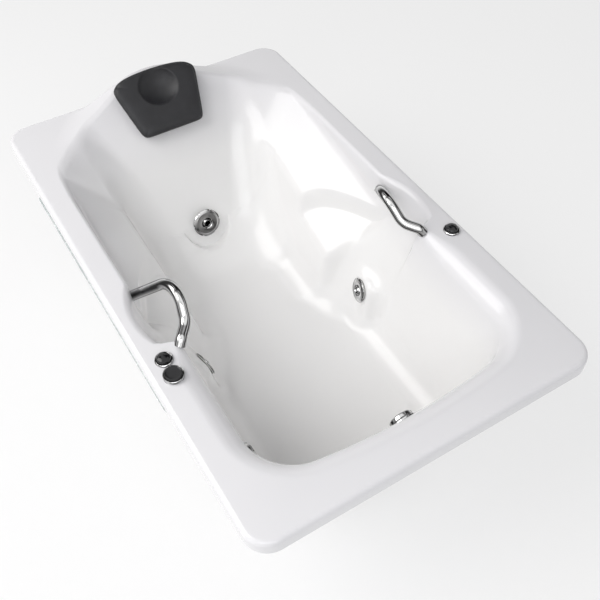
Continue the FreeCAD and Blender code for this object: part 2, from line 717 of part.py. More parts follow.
def drain_shoe():
    body = housing(DRAIN_HOLE, DRAIN_REACH, DRAIN_ROOM)
    axis = WASTE_Z - DRAIN_AT[2]
    spill = (0, 0, SPILL_RUN[-1][2] - DRAIN_AT[2])
    sockets = [rod(WASTE_OUT, 40.0, (0, 0, axis), (0, 1, 0)), rod(SPILL_R + 4.0, 40.0, spill, (0, -1, 0))]
    body = body.fuse(sockets)
    low = -DRAIN_REACH - 0.5 - DRAIN_ROOM + 4
    room = Part.makeCylinder(DRAIN_HOLE - NECK_WALL, DRAIN_ROOM - 4, V(0, 0, low))
    cup = Part.makeCylinder(DRAIN_HOLE + SEAT_CLEAR, DRAIN_REACH, V(0, 0, -DRAIN_REACH - 0.5))
    return body.cut([rod(WASTE_R, 42.0, (0, 0, axis), (0, 1, 0)),
                     rod(SPILL_R + SEAT_CLEAR, 48.0, spill, (0, -1, 0)), room, cup])


def drain_stopper():
    z = NECK_TOP + 0.2
    cap = turned([(0, z), (24.0, z), (26.0, z + 2), (25.0, z + 4), (12.0, z + 6), (0, z + 6.5)])
    return cap.fuse(Part.makeCylinder(STEM_R, z + 36.0, V(0, 0, -36.0))).removeSplitter()


def stopper_linkage():
    # bent steel wire from the spindle's end down the overflow and along to the stopper's foot
    top = world(OVERFLOW_FRAME, 0, 0, -20.3)
    last = V(*SPILL_RUN[-1])
    bend = world(OVERFLOW_FRAME, 0, 0, -29.0)
    run = [top, bend] + list(SPILL_RUN[1:-1]) + [(0, -516.0, last.z)]
    return run_body(run, 2.0, (5.0, 14.0, 14.0, 14.0, 14.0))


# ---------------------------------------------------------------- grab bars and deck controls
def grab_bar(side, shell):
    # bent tube with plugged ends, coped to the moulded surface, and a stud through each end
    points = bar_run(side)
    first = (points[0] - points[1]).normalize()
    last = (points[-1] - points[-2]).normalize()
    path = [points[0] + first * 30.0] + points[1:-1] + [points[-1] + last * 30.0]
    plugs = [rod(BAR_R - 1.0, 52.0, path[0], -first), rod(BAR_R - 1.0, 39.0, path[-1], -last)]
    spots = stud_spots(side)
    past = [rod(STUD_R + 1.0, 60.0, seat, way) for seat, way in spots]
    past += [rod(40.0, 60.0, seat + way * WALL / 2, way) for seat, way in spots]
    body = pipe(path, BAR_R, BAR_R - 2.0, BAR_BENDS).fuse(plugs).cut([shell] + past)
    body = max(body.Solids, key=lambda solid: solid.Volume)
    return body.fuse([rod(STUD_R, STUD_OUT + 5.0, seat - way * 5.0, way) for seat, way in spots])


def grab_bar_nuts():
    return Part.makeCompound([place(nut(13.0, 6.5, STUD_R + 0.03), seat + way * NUT_OUT, way)
                              for seat, way in BAR_SPOTS])


BUTTON_R = 21.3
BUTTON_LOW = 7.5
PIN_R = 3.0


def button_base():
    body = turned([(BUTTON_R + SEAT_CLEAR, SEAT_CLEAR + 2.7), (BUTTON_R + SEAT_CLEAR, 9.0), (24.0, 10.0),
                   (25.0, 9.0), (25.0, SEAT_CLEAR), (15.0, SEAT_CLEAR), (15.0, -32.0), (1.4, -32.0),
                   (1.4, -28.0), (11.0, -28.0), (11.0, -0.5), (PIN_R + RUNNING, -0.5),
                   (PIN_R + RUNNING, SEAT_CLEAR + 2.7)])
    return body.fuse(ring(PIN_R - 0.2, 1.4, 14.0, (0, 0, -45.0)))


def button_cap():
    top = BUTTON_LOW + 6.5
    r = BUTTON_R
    cap = turned([(0, BUTTON_LOW), (r, BUTTON_LOW), (r, top - 1), (r - 1, top), (r - 4, top - 0.6),
                  (0, top - 0.6)])
    return cap.fuse(Part.makeCylinder(PIN_R, BUTTON_LOW + 8.0, V(0, 0, -7.0))).removeSplitter()


def button_bellows():
    return turned([(0, -7.0), (9.0, -7.0), (6.5, -10.0), (9.0, -13.0), (6.5, -16.0), (9.0, -19.0),
                   (6.5, -22.0), (9.0, -25.0), (9.0, -28.0), (0, -28.0)])


KNOB_R = 17.3


def air_control():
    floor = SEAT_CLEAR + 1.7
    return turned([(KNOB_R + SEAT_CLEAR, floor), (KNOB_R + SEAT_CLEAR, 5.5), (20.0, 6.5), (22.0, 4.5),
                   (22.0, SEAT_CLEAR), (15.0, SEAT_CLEAR), (15.0, -36.0), (AIR_PORT_R, -36.0),
                   (AIR_PORT_R, -56.0), (AIR_PORT_R - 2.5, -56.0), (AIR_PORT_R - 2.5, -32.0), (11.0, -32.0),
                   (11.0, -6.0), (6.0 + RUNNING, -6.0), (6.0 + RUNNING, floor)])


def air_knob():
    low = SEAT_CLEAR + 2.0
    r = KNOB_R
    cap = turned([(0, low), (r, low), (r, 9.0), (r - 2.5, 13.0), (r - 8.0, 15.5), (0, 16.3)])
    stem = Part.makeCylinder(6.0, low + 12.0, V(0, 0, -11.0))
    grip = block((-2.0, 4.0, 15.0), (2.0, 14.0, 20.0))
    return cap.fuse(stem).removeSplitter().cut(grip)


# ---------------------------------------------------------------- head pillow
PILLOW_LOW = (553.0, -33.0)
PILLOW_TOP = (690.0, 102.0)
PILLOW_HALF_LOW = 96.0
PILLOW_HALF_TOP = 133.0
PILLOW_CROWN = 13.0
PILLOW_BULGE = 12.0        # arc of the top edge
DISH_R = 58.0
DISH_DEEP = 11.0
PILLOW_COLUMNS = 18
PILLOW_ROWS = 16


def pillow_point(a, b):
    # point of the seam plane for a and b from -1 to 1
    run = V(0, PILLOW_TOP[0] - PILLOW_LOW[0], PILLOW_TOP[1] - PILLOW_LOW[1])
    u = a * sqrt(1.0 - 0.16 * b * b)
    v = b * sqrt(1.0 - 0.16 * a * a)
    share = (v + 1.0) / 2.0
    half = PILLOW_HALF_LOW + (PILLOW_HALF_TOP - PILLOW_HALF_LOW) * share
    bulge = PILLOW_BULGE * share * (1.0 - u * u)
    base = V(u * half, PILLOW_LOW[0], deep(PILLOW_LOW[1])) + run * share
    return base + run.normalize() * bulge


def head_pillow():
    run = V(0, PILLOW_TOP[0] - PILLOW_LOW[0], PILLOW_TOP[1] - PILLOW_LOW[1]).normalize()
    out = V(0, -run.z, run.y)
    dish = (pillow_point(0.0, 0.12) + pillow_point(0.0, 0.22)) * 0.5
    front = []
    back = []
    for i in range(PILLOW_COLUMNS + 1):
        front.append([])
        back.append([])
        for j in range(PILLOW_ROWS + 1):
            a = sin(pi / 2 * (2.0 * i / PILLOW_COLUMNS - 1.0))
            b = sin(pi / 2 * (2.0 * j / PILLOW_ROWS - 1.0))
            seam = pillow_point(a, b)
            crown = PILLOW_CROWN * ((1.0 - a ** 4) * (1.0 - b ** 4)) ** 0.5
            crown -= DISH_DEEP * ease(1.0 - seam.distanceToPoint(dish) / DISH_R) ** 0.7
            front[i].append(seam + out * crown)
            inner = pillow_point(a * 0.93, b * 0.93)
            start = (inner.x, inner.y, inner.z - RIM_Z)
            s = travel(start, (0, out.y * -1.0, out.z * -1.0), -1.0, 120.0)
            back[i].append(inner - out * s)
    faces = []
    for i in range(PILLOW_COLUMNS):
        for j in range(PILLOW_ROWS):
            flip = (i < PILLOW_COLUMNS / 2) == (j < PILLOW_ROWS / 2)
            for g in (front, back):
                faces += folded(g[i][j], g[i + 1][j], g[i + 1][j + 1], g[i][j + 1], flip)
    edge = [(i, 0) for i in range(PILLOW_COLUMNS)] + [(PILLOW_COLUMNS, j) for j in range(PILLOW_ROWS)]
    edge += [(i, PILLOW_ROWS) for i in range(PILLOW_COLUMNS, 0, -1)]
    edge += [(0, j) for j in range(PILLOW_ROWS, 0, -1)]
    for (i, j), (k, m) in zip(edge, edge[1:] + edge[:1]):
        faces += folded(front[i][j], front[k][m], back[k][m], back[i][j], i < PILLOW_COLUMNS / 2)
    body = closed(faces)
    return body.cut([rod(PEG_R + SEAT_CLEAR, 40.0, peg_seat(x) - V(*PEG_WAY) * 24.0, PEG_WAY) for x in PEG_X])


def pillow_pegs():
    pegs = []
    for x in PEG_X:
        seat = peg_seat(x)
        shank = rod(PEG_R, 14.0 + 16.0, seat - V(*PEG_WAY) * 16.0, PEG_WAY)
        pegs.append(shank.fuse(rod(PEG_R + 3.0, 3.0, seat - V(*PEG_WAY) * 16.0, PEG_WAY)).removeSplitter())
    return Part.makeCompound(pegs)


# ---------------------------------------------------------------- base under the bath
BOARD_HALF = 170.0
BOARD_Y = (-390.0, 330.0)
BOARD_LOW = 40.0
BOARD_THICK = 18.0


def floor_bedding():
    # resin bed that fills the space between the board and the bath's floor
    top = BOARD_LOW + BOARD_THICK
    body = block((-150.0, BOARD_Y[0] + 20, top), (150.0, BOARD_Y[1] - 20, top + 45.0))
    return body.cut(mould_back())


def base_feet():
    feet = []
    for x in (-140.0, 140.0):
        for y in (BOARD_Y[0] + 30.0, -30.0, BOARD_Y[1] - 30.0):
            foot = turned([(0, 0), (24, 0), (24, 6), (9, 10), (9, BOARD_LOW - 5), (22, BOARD_LOW - 4),
                           (22, BOARD_LOW), (0, BOARD_LOW)])
            feet.append(place(foot, (x, y, 0), (0, 0, 1)))
    return Part.makeCompound(feet)


# ---------------------------------------------------------------- pump
PUMP_Y = 600.0
PUMP_Z = 118.0
VOLUTE_R = 75.0
VOLUTE_X = (-60.0, -5.0)
CAVITY_R = 58.0
DISCHARGE_Y = PUMP_Y + 45.0
DISCHARGE_X = (VOLUTE_X[0] + VOLUTE_X[1]) / 2
DISCHARGE_TOP = 215.0
PIPE_R = PORT_BORE - SEAT_CLEAR
PIPE_WALL = 3.0
SHAFT_R = 6.0
MOTOR_R = 70.0
BOLT_CIRCLE = 66.5
PLATE_THICK = 11.0
GLAND_R = 5.0
CRADLE_X = (25.0, 165.0)
CRADLE_HOLE = 4.5


def on_pump(shape):
    # shape made along +Z from x = 0 of the pump, turned to run along +X
    return place(shape, (0, PUMP_Y, PUMP_Z), (1, 0, 0))


def bolt_spots():
    spots = []
    for k in range(6):
        a = radians(60 * k + 30)
        spots.append((BOLT_CIRCLE * cos(a), BOLT_CIRCLE * sin(a)))
    return spots


def pump_volute():
    low, high = VOLUTE_X
    body = Part.makeCylinder(VOLUTE_R, high - low, V(0, 0, low))
    body = body.fuse(Part.makeCylinder(SUCTION_PORT_R, 54.0, V(0, 0, low - 50.0)))
    body = on_pump(body).fuse(rod(22.0, DISCHARGE_TOP - PUMP_Z, (DISCHARGE_X, DISCHARGE_Y, PUMP_Z)))
    cavity = Part.makeCylinder(CAVITY_R, high - low - 8.0, V(0, 0, low + 8.0))
    eye = Part.makeCylinder(SUCTION_BORE, 66.0, V(0, 0, low - 51.0))
    holes = [Part.makeCylinder(3.0, 20.0, V(x, y, high - 12.0)) for x, y in bolt_spots()]
    tools = [on_pump(tool) for tool in [cavity, eye] + holes]
    return body.cut(tools + [rod(PORT_BORE, DISCHARGE_TOP, (DISCHARGE_X, DISCHARGE_Y, PUMP_Z))])


def pump_backplate():
    low = VOLUTE_X[1]
    body = Part.makeCylinder(VOLUTE_R - 2.0, PLATE_THICK, V(0, 0, low))
    body = body.fuse(Part.makeCylinder(20.0, 18.0, V(0, 0, low + PLATE_THICK))).removeSplitter()
    tools = [Part.makeCylinder(SHAFT_R + 0.4, 60.0, V(0, 0, -20.0))]
    tools.append(Part.makeCylinder(13.0, 12.0, V(0, 0, 12.0)))
    tools += [Part.makeCylinder(3.3, 30.0, V(x, y, low - 5.0)) for x, y in bolt_spots()]
    tools += [Part.makeCylinder(5.3, 10.0, V(x, y, low + 6.0)) for x, y in bolt_spots()]
    return on_pump(body.cut(tools))


def impeller():
    body = ring(12.0, SHAFT_R, 22.0, (0, 0, -40.0)).fuse(ring(48.0, SHAFT_R, 4.0, (0, 0, -22.0)))
    for k in range(6):
        blade = block((11.0, -1.5, -38.0), (47.0, 1.5, -21.0))
        blade.rotate(V(10, 0, 0), V(0, 0, 1), 25)
        blade.rotate(V(0, 0, 0), V(0, 0, 1), 60 * k)
        body = body.fuse(blade)
    return on_pump(body.removeSplitter())


def motor_shell():
    body = ring(MOTOR_R, MOTOR_R - 6.0, 184.0, (0, 0, PLATE_THICK - 5.0))
    vents = [rod(4.0, 30.0, (56 * cos(a), 56 * sin(a), 178.0), (cos(a), sin(a), 0))
             for a in [radians(45 * k) for k in range(8)]]
    return on_pump(body.cut(vents))


def motor_endbell():
    body = Part.makeCylinder(MOTOR_R, 22.0, V(0, 0, 190.0))
    pocket = Part.makeCylinder(MOTOR_R - 8.0, 16.0, V(0, 0, 189.0))
    hub = Part.makeCylinder(20.0, 16.0, V(0, 0, 192.0))
    seat = Part.makeCylinder(13.0, 11.0, V(0, 0, 191.0))
    clear = Part.makeCylinder(SHAFT_R + 1.0, 20.0, V(0, 0, 190.0))
    return on_pump(body.cut(pocket).fuse(hub).cut([seat, clear]))


def motor_fan():
    body = ring(16.0, SHAFT_R, 12.0, (0, 0, 174.0))
    for k in range(8):
        blade = block((14.0, -1.2, 175.0), (55.0, 1.2, 185.0))
        blade.rotate(V(0, 0, 0), V(0, 0, 1), 45 * k)
        body = body.fuse(blade)
    return on_pump(body.removeSplitter())


def terminal_box():
    body = block((60, PUMP_Y - 32, PUMP_Z + 55), (136, PUMP_Y + 32, 240))
    body = body.cut(block((64, PUMP_Y - 28, PUMP_Z + 74), (132, PUMP_Y + 28, 236)))
    gland = rod(9.0, 16.0, (135, PUMP_Y, 214), (1, 0, 0))
    air_switch = rod(PIN_R - 0.3, 18.0, (100, PUMP_Y, 238))
    motor = rod(MOTOR_R + 0.2, 200.0, (0, PUMP_Y, PUMP_Z), (1, 0, 0))
    gland_bore = rod(GLAND_R, 30.0, (125, PUMP_Y, 214), (1, 0, 0))
    return body.fuse([gland, air_switch]).cut([motor, gland_bore, rod(1.2, 40.0, (100, PUMP_Y, 225))])


def pump_cradle():
    body = block((10, PUMP_Y - 85, 0), (180, PUMP_Y + 85, 8))
    for x in (40, 140):
        body = body.fuse(block((x, PUMP_Y - 50, 7), (x + 18, PUMP_Y + 50, 84)))
    holes = [rod(CRADLE_HOLE, 20.0, (x, PUMP_Y + y, -5)) for x in CRADLE_X for y in (-72.0, 72.0)]
    return body.removeSplitter().cut([rod(MOTOR_R + 0.2, 220.0, (0, PUMP_Y, PUMP_Z), (1, 0, 0))] + holes)


def pump_bolts():
    # socket screws with their heads sunk in the back plate
    socket = nut(11.0, 3.0, 3.0).common(Part.makeCylinder(5.0, 3.0))
    shank = Part.makeCylinder(3.0, 17.0, V(0, 0, -17.0))
    screw = shank.fuse([Part.makeCylinder(5.0, 1.6), socket.translated(V(0, 0, 1.6))])
    low = VOLUTE_X[1] + 6.0
    return Part.makeCompound([on_pump(screw.translated(V(x, y, low))) for x, y in bolt_spots()])


# ---------------------------------------------------------------- pipework
MANIFOLD_Y = 525.0
MANIFOLD_X = (-95.0, 150.0)
BRANCH_X = 110.0
TUBE_R = 10.0
TUBE_BORE = AIR_PORT_R + SEAT_CLEAR


def port_point(name, out):
    return world(JET_FRAMES[name], JET_SIDES[name] * out, 0, PORT_DEEP)


MANIFOLD_Z = port_point("back", 0.0).z


def pressure_manifold():
    low, high = MANIFOLD_X
    y, z = MANIFOLD_Y, MANIFOLD_Z
    body = rod(22.0, high - low, (low, y, z), (1, 0, 0))
    up = (DISCHARGE_X, y, z)
    out = (BRANCH_X, y, z)
    body = body.fuse([rod(PORT_R, 45.0, up), rod(PORT_R, 40.0, out, (0, -1, 0))])
    return body.cut([rod(PORT_BORE, high - low + 2, (low - 1, y, z), (1, 0, 0)),
                     rod(PORT_BORE, 47.0, up), rod(PORT_BORE, 42.0, out, (0, -1, 0))])


def water_pipe(points, bend):
    return pipe(points, PIPE_R, PIPE_R - PIPE_WALL, bend)


def pressure_pipes():
    y, z = MANIFOLD_Y, MANIFOLD_Z
    runs = []
    for name, end in (("right", MANIFOLD_X[1]), ("left", MANIFOLD_X[0])):
        side = 1 if end > 0 else -1
        near = port_point(name, 28.0)
        out = port_point(name, 110.0)
        runs.append(water_pipe([near, out, (out.x, y, z), (end - side * 22.0, y, z)], 40.0))
    port = port_point("back", 28.0)
    runs.append(water_pipe([port, (BRANCH_X, port.y, z), (BRANCH_X, y - 22.0, z)], 28.0))
    return Part.makeCompound(runs)


def discharge_pipe():
    x = DISCHARGE_X
    return water_pipe([(x, DISCHARGE_Y, DISCHARGE_TOP - 22), (x, DISCHARGE_Y, 300), (x, MANIFOLD_Y, 300),
                       (x, MANIFOLD_Y, MANIFOLD_Z + 23)], 40.0)


def suction_pipe():
    start = world(SUCTION_FRAME, SUCTION_OUT - 22, 0, SUCTION_DEEP)
    x = start.x
    points = [start, (x, -270.0, start.z), (x, -210.0, PUMP_Z), (x, PUMP_Y, PUMP_Z),
              (VOLUTE_X[0] - 28, PUMP_Y, PUMP_Z)]
    return pipe(points, SUCTION_BORE - SEAT_CLEAR, SUCTION_BORE - 4.0, 45.0)


def air_lines():
    # an air tube from each control to its side jet, with a branch on to the back jet
    runs = {}
    for (x, y, _), name in ((AIR_AT[1], "right"), (AIR_AT[0], "left")):
        side = 1 if x > 0 else -1
        near = world(JET_FRAMES[name], 0, 0, JET_END - 2.0)
        out = world(JET_FRAMES[name], 0, 0, JET_END - 64.0)
        runs[name] = [near, out, (side * 400.0, -125.0, 330.0), (x, y, 400.0), (x, y, RIM_Z - 38.0)]
    port = world(JET_FRAMES["back"], -JET_HOLE - 10.0, 0, PORT_DEEP)
    branch = [(-398.0, -124.5, 225.0), (-398.0, port.y, 225.0), (-90.0, port.y, 225.0),
              (-90.0, port.y, port.z), port]
    outer = run_body(runs["left"], TUBE_R, 25.0).fuse(run_body(branch, TUBE_R, 18.0))
    left = outer.cut([run_body(runs["left"], TUBE_BORE, 25.0), run_body(branch, TUBE_BORE, 18.0)])
    return Part.makeCompound([pipe(runs["right"], TUBE_R, TUBE_BORE, 25.0), left])


def button_tube():
    x, y, _ = BUTTON_AT
    points = [(x, y, RIM_Z - 36), (x, y, 400), (-432, y + 40, 320), (-432, 690, 300), (100, 690, 300),
              (100, PUMP_Y, 300), (100, PUMP_Y, 242)]
    return pipe(points, 4.5, PIN_R + 0.1, 26.0)


# ---------------------------------------------------------------- write the pieces
shell = tub_shell()
write("tub_shell", shell)
board_top = BOARD_LOW + BOARD_THICK
write("base_board", block((-BOARD_HALF, BOARD_Y[0], BOARD_LOW), (BOARD_HALF, BOARD_Y[1], board_top)))
write("floor_bedding", floor_bedding())
write("base_feet", base_feet())
write("head_pillow", head_pillow())
write("pillow_pegs", pillow_pegs())
write("grab_bar_right", grab_bar(1, shell))
write("grab_bar_left", grab_bar(-1, shell))
write("grab_bar_nuts", grab_bar_nuts())

write("power_button_base", place(button_base(), BUTTON_AT, (0, 0, 1)))
write("power_button", place(button_cap(), BUTTON_AT, (0, 0, 1)))
write("button_bellows", place(button_bellows(), BUTTON_AT, (0, 0, 1)))
for name, pos in (("left", AIR_AT[0]), ("right", AIR_AT[1])):
    write("air_control_" + name, place(air_control(), pos, (0, 0, 1)))
    write("air_knob_" + name, place(air_knob(), pos, (0, 0, 1)))
deck_nuts = [place(nut(44.0, 7.0, DECK_HOLE), (x, y, z - WALL - SEAT_CLEAR - 7.0), (0, 0, 1))
             for x, y, z in (BUTTON_AT,) + AIR_AT]
write("deck_nuts", Part.makeCompound(deck_nuts))

gaskets = [settle(wall_gasket(JET_HOLE), frame) for frame in JET_FRAMES.values()]
gaskets += [settle(wall_gasket(SUCTION_HOLE), SUCTION_FRAME), settle(wall_gasket(DRAIN_HOLE), DRAIN_FRAME)]
write("fitting_gaskets", Part.makeCompound(gaskets))
write("jet_fittings", Part.makeCompound([settle(wall_fitting(JET_HOLE, r - 3.0, JET_REACH), JET_FRAMES[name])
                                         for name, _, _, r in JETS]))
for name, pos, way, r in JETS:
    air_way = (-1, 0, 0) if name == "back" else (0, 0, -1)
    write("jet_housing_" + name, settle(jet_housing(JET_SIDES[name], air_way), JET_FRAMES[name]))
    write("jet_ring_" + name, settle(jet_ring(r), JET_FRAMES[name]))
    write("jet_nozzle_" + name, settle(jet_nozzle(), JET_FRAMES[name]))

write("suction_fitting", settle(suction_fitting(), SUCTION_FRAME))
write("suction_housing", settle(suction_housing(), SUCTION_FRAME))
write("suction_cover", settle(suction_cover(), SUCTION_FRAME))
write("overflow_elbow", overflow_elbow())
write("overflow_plate", settle(overflow_plate(), OVERFLOW_FRAME))
write("overflow_knob", settle(overflow_knob(), OVERFLOW_FRAME))
write("overflow_pipe", pipe(SPILL_RUN, SPILL_R, SPILL_BORE, SPILL_BEND))
write("waste_elbow", waste_elbow())
write("waste_pipe", ring(WASTE_R - SEAT_CLEAR, WASTE_R - 3.0, 40.0, (0, OUTLET_Y - 65.0, WASTE_Z), (0, 1, 0)))
write("drain_flange", settle(drain_flange(), DRAIN_FRAME))
write("drain_shoe", settle(drain_shoe(), DRAIN_FRAME))
write("drain_stopper", settle(drain_stopper(), DRAIN_FRAME))
write("stopper_linkage", stopper_linkage())

write("suction_pipe", suction_pipe())
write("pressure_manifold", pressure_manifold())
write("pressure_pipes", pressure_pipes())
write("discharge_pipe", discharge_pipe())
write("air_lines", air_lines())
write("button_tube", button_tube())

write("pump_volute", pump_volute())
write("pump_backplate", pump_backplate())
write("impeller", impeller())
write("motor_shaft", on_pump(Part.makeCylinder(SHAFT_R, 246.0, V(0, 0, -40.0))))
write("motor_rotor", on_pump(ring(36.0, SHAFT_R, 110.0, (0, 0, 40.0))))
write("motor_stator", on_pump(ring(MOTOR_R - 6.0, 38.0, 100.0, (0, 0, 45.0))))
write("motor_shell", motor_shell())
write("motor_fan", motor_fan())
write("motor_endbell", motor_endbell())
bearings = [on_pump(ring(13.0, SHAFT_R + 0.1, 10.0, (0, 0, x))) for x in (13.0, 192.0)]
write("shaft_bearings", Part.makeCompound(bearings))
write("terminal_box", terminal_box())
write("pump_cradle", pump_cradle())
write("pump_bolts", pump_bolts())
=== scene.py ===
import bpy
import bmesh
import numpy as np
from math import sin, cos, tan, pi, radians, sqrt, hypot
from mathutils import Vector, Matrix


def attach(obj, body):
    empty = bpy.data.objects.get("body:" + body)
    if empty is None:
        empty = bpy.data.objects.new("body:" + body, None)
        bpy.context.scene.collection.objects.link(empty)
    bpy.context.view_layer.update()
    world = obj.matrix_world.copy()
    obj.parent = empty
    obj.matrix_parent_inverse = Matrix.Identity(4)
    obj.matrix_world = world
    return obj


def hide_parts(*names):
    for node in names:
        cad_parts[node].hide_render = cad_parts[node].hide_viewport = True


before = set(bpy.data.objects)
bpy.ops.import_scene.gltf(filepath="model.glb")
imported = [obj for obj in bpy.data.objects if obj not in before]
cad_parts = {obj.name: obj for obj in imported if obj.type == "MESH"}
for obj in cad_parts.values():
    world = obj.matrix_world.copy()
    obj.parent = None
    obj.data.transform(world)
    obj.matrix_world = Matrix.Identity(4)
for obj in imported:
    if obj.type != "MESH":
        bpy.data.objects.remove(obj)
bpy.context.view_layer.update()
MM = 0.001
RIM_Z = 508.0
WALL = 7.0
LIP_DEPTH = 40.0
RIM_HALF = (457.0, 762.0)
RIM_CORNER = 60.0
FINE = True


# ------------------------------------------------------------ the moulded surface, in mm
# x and y as in the part's frame, z from the deck; positive values are inside the acrylic
def join_max(a, b, r):
    return np.minimum(np.maximum(a, b), -r) + np.hypot(np.maximum(a + r, 0.0), np.maximum(b + r, 0.0))


def join_min(a, b, r):
    return -join_max(-a, -b, r)


def blend_max(a, b, k):
    return np.maximum(a, b) + np.maximum(k - np.abs(a - b), 0.0) ** 2 / (4.0 * k)


def blend_min(a, b, k):
    return -blend_max(-a, -b, k)


def ease(t):
    t = np.clip(t, 0.0, 1.0)
    return t * t * (3.0 - 2.0 * t)


def hump(x, y):
    half = 262.0 + np.maximum(0.0, 757.0 - y) * 0.75
    ends = ease((762.0 - y) / 30.0) * ease((y - 560.0) / 110.0)
    return 84.0 * ease((half - np.abs(x)) / half) * ends


def under_slope(y, z, point, degrees):
    a = radians(degrees)
    return (y - point[0]) * sin(a) - (z - point[1]) * cos(a)


def lower_wall(y, z):
    hip = 250.0 + 0.23 * (z + 140.0)
    foot = 354.0 + 0.2056 * z
    turn = -30.0 + 0.25 * (z + 123.0)
    return hip + (foot - hip) * ease((turn + 80.0 - y) / 160.0)


def along(x, y, z, at, way):
    return (x - at[0]) * way[0] + (y - at[1]) * way[1] + (z + RIM_Z - at[2]) * way[2]


def unit(x, y, z):
    return Vector((x, y, z)).normalized()


SIDE_JET_AT = Vector((261.0, -95.0, 201.0))
SIDE_JET_WAY = unit(-0.955, 0.2, 0.2)
BACK_JET_AT = Vector((0.0, 400.0, 205.0))
BACK_JET_WAY = Vector((0.0, -sin(radians(70)), cos(radians(70))))
SUCTION_AT = Vector((-282.5, -400.0, 163.0))
SUCTION_WAY = unit(1.0, 0.0, 0.2)
OVERFLOW_AT = Vector((0.0, -637.5, 426.0))
OVERFLOW_WAY = unit(0.0, 1.0, 0.15)
DRAIN_AT = Vector((0.0, -520.0, 81.0))
UPRIGHT = Vector((0.0, 0.0, 1.0))
BUTTON_AT = Vector((-408.0, -298.0, RIM_Z))
AIR_AT = {"left": Vector((-408.0, -246.0, RIM_Z)), "right": Vector((420.0, -260.0, RIM_Z))}
RECESS_HALF = 78.0
PAD_HALF = 46.0


def recess(x, y, z):
    # U-shaped hollow round the back jet, open towards the head
    t = along(x, y, z, BACK_JET_AT, BACK_JET_WAY)
    up = along(x, y, z, BACK_JET_AT, (0.0, cos(radians(70)), sin(radians(70))))
    u = np.where(up < 0.0, np.hypot(x, np.minimum(up, 0.0)), np.abs(x)) - RECESS_HALF
    return np.maximum(join_max(-t, np.maximum(u, up - 190.0), 5.0), t - 200.0)


def jet_boss(x, y, z):
    # flat face of a side jet, carried down to the floor
    half = np.abs(x)
    t = along(half, y, z, SIDE_JET_AT, SIDE_JET_WAY)
    side = SIDE_JET_WAY.cross(Vector((0, 0, 1))).normalized()
    up = side.cross(SIDE_JET_WAY)
    s = along(half, y, z, SIDE_JET_AT, side)
    v = along(half, y, z, SIDE_JET_AT, up)
    edge = join_min(PAD_HALF - np.abs(s), PAD_HALF - v, 30.0)
    return join_min(-t, edge - t * 0.4, 16.0)


def flatten(f, x, y, z, at, way, r):
    t = along(x, y, z, at, way)
    span = (x - at[0]) ** 2 + (y - at[1]) ** 2 + (z + RIM_Z - at[2]) ** 2
    out = np.sqrt(np.maximum(span - t * t, 0.0))
    share = ease((r + 10.0 - out) / 10.0) * ease((45.0 - np.abs(t)) / 20.0)
    return f * (1.0 - share) - t * share


def basin(x, y, z):
    half = np.abs(x)
    # low: under the arm rests, rest: their tops, foot_side: the foot well, plan: all the side walls
    low = (half - lower_wall(y, z)) * 0.975
    rest = (0.8 * (half - 350.0) - 0.1873 * (555.0 - y) - 15.0 - z) / 1.294
    fold = 205.0 - 0.0118 * np.maximum(0.0, half - 235.0) ** 2
    rest = rest - 45.0 * ease((fold - y) / 40.0 + 0.5) / 1.294 + np.maximum(0.0, -y) * 0.6
    head_side = join_max(join_min(low, rest, 10.0), half - (385.0 + 0.05 * z), 14.0)
    foot_side = (half - (354.0 + 0.2056 * z)) * 0.9795
    run = ease((-20.0 - y) / 120.0)
    side = head_side * (1.0 - run) + foot_side * run
    off = np.abs(y + 104.0)
    reach = 418.0 + 0.48 * z - off ** 2 / 444.0 - np.maximum(0.0, off - 100.0) ** 2 / 60.0
    reach = reach - np.maximum(0.0, -185.0 - y) ** 2 / 12.0
    side = join_min(side, (half - reach) * 0.9, 18.0)
    back = under_slope(y, z, (565.0, -58.0), 57.0)
    back = blend_min(back, under_slope(y, z, (565.0, -58.0), 40.0), 18.0)
    head = blend_max(back, under_slope(y, z, (100.0, -411.0), 3.0), 130.0)
    head = blend_max(head, -425.0 - z, 8.0)
    foot_wall = (-651.0 - 0.15 * z + 0.00028 * half * half - y) * 0.985
    plan = join_max(side, foot_wall, 105.0)
    return join_max(plan, head, 110.0 - 40.0 * ease((200.0 - y) / 60.0 + 0.5))


def acrylic(x, y, z):
    sink = 2.0 * ease((46.0 - np.hypot(x - DRAIN_AT[0], y - DRAIN_AT[1])) / 8.0)
    hollow = basin(x, y, z + sink)
    hollow = join_min(hollow, recess(x, y, z), 4.0)
    hollow = join_max(hollow, jet_boss(x, y, z), 30.0)
    hollow = flatten(hollow, x, y, z, SUCTION_AT, SUCTION_WAY, 48.0)
    hollow = flatten(hollow, x, y, z, OVERFLOW_AT, OVERFLOW_WAY, 37.0)
    roll = 45.0 - 33.0 * ease((y + 340.0) / 150.0)
    return join_min(hollow, hump(x, y) - z, roll)


def height(x, y, depth):
    solid = np.full(x.shape, -470.0)
    air = np.full(x.shape, 130.0)
    for _ in range(24):
        mid = (solid + air) / 2.0
        inside = acrylic(x, y, mid) > depth
        solid = np.where(inside, mid, solid)
        air = np.where(inside, air, mid)
    return (solid + air) / 2.0


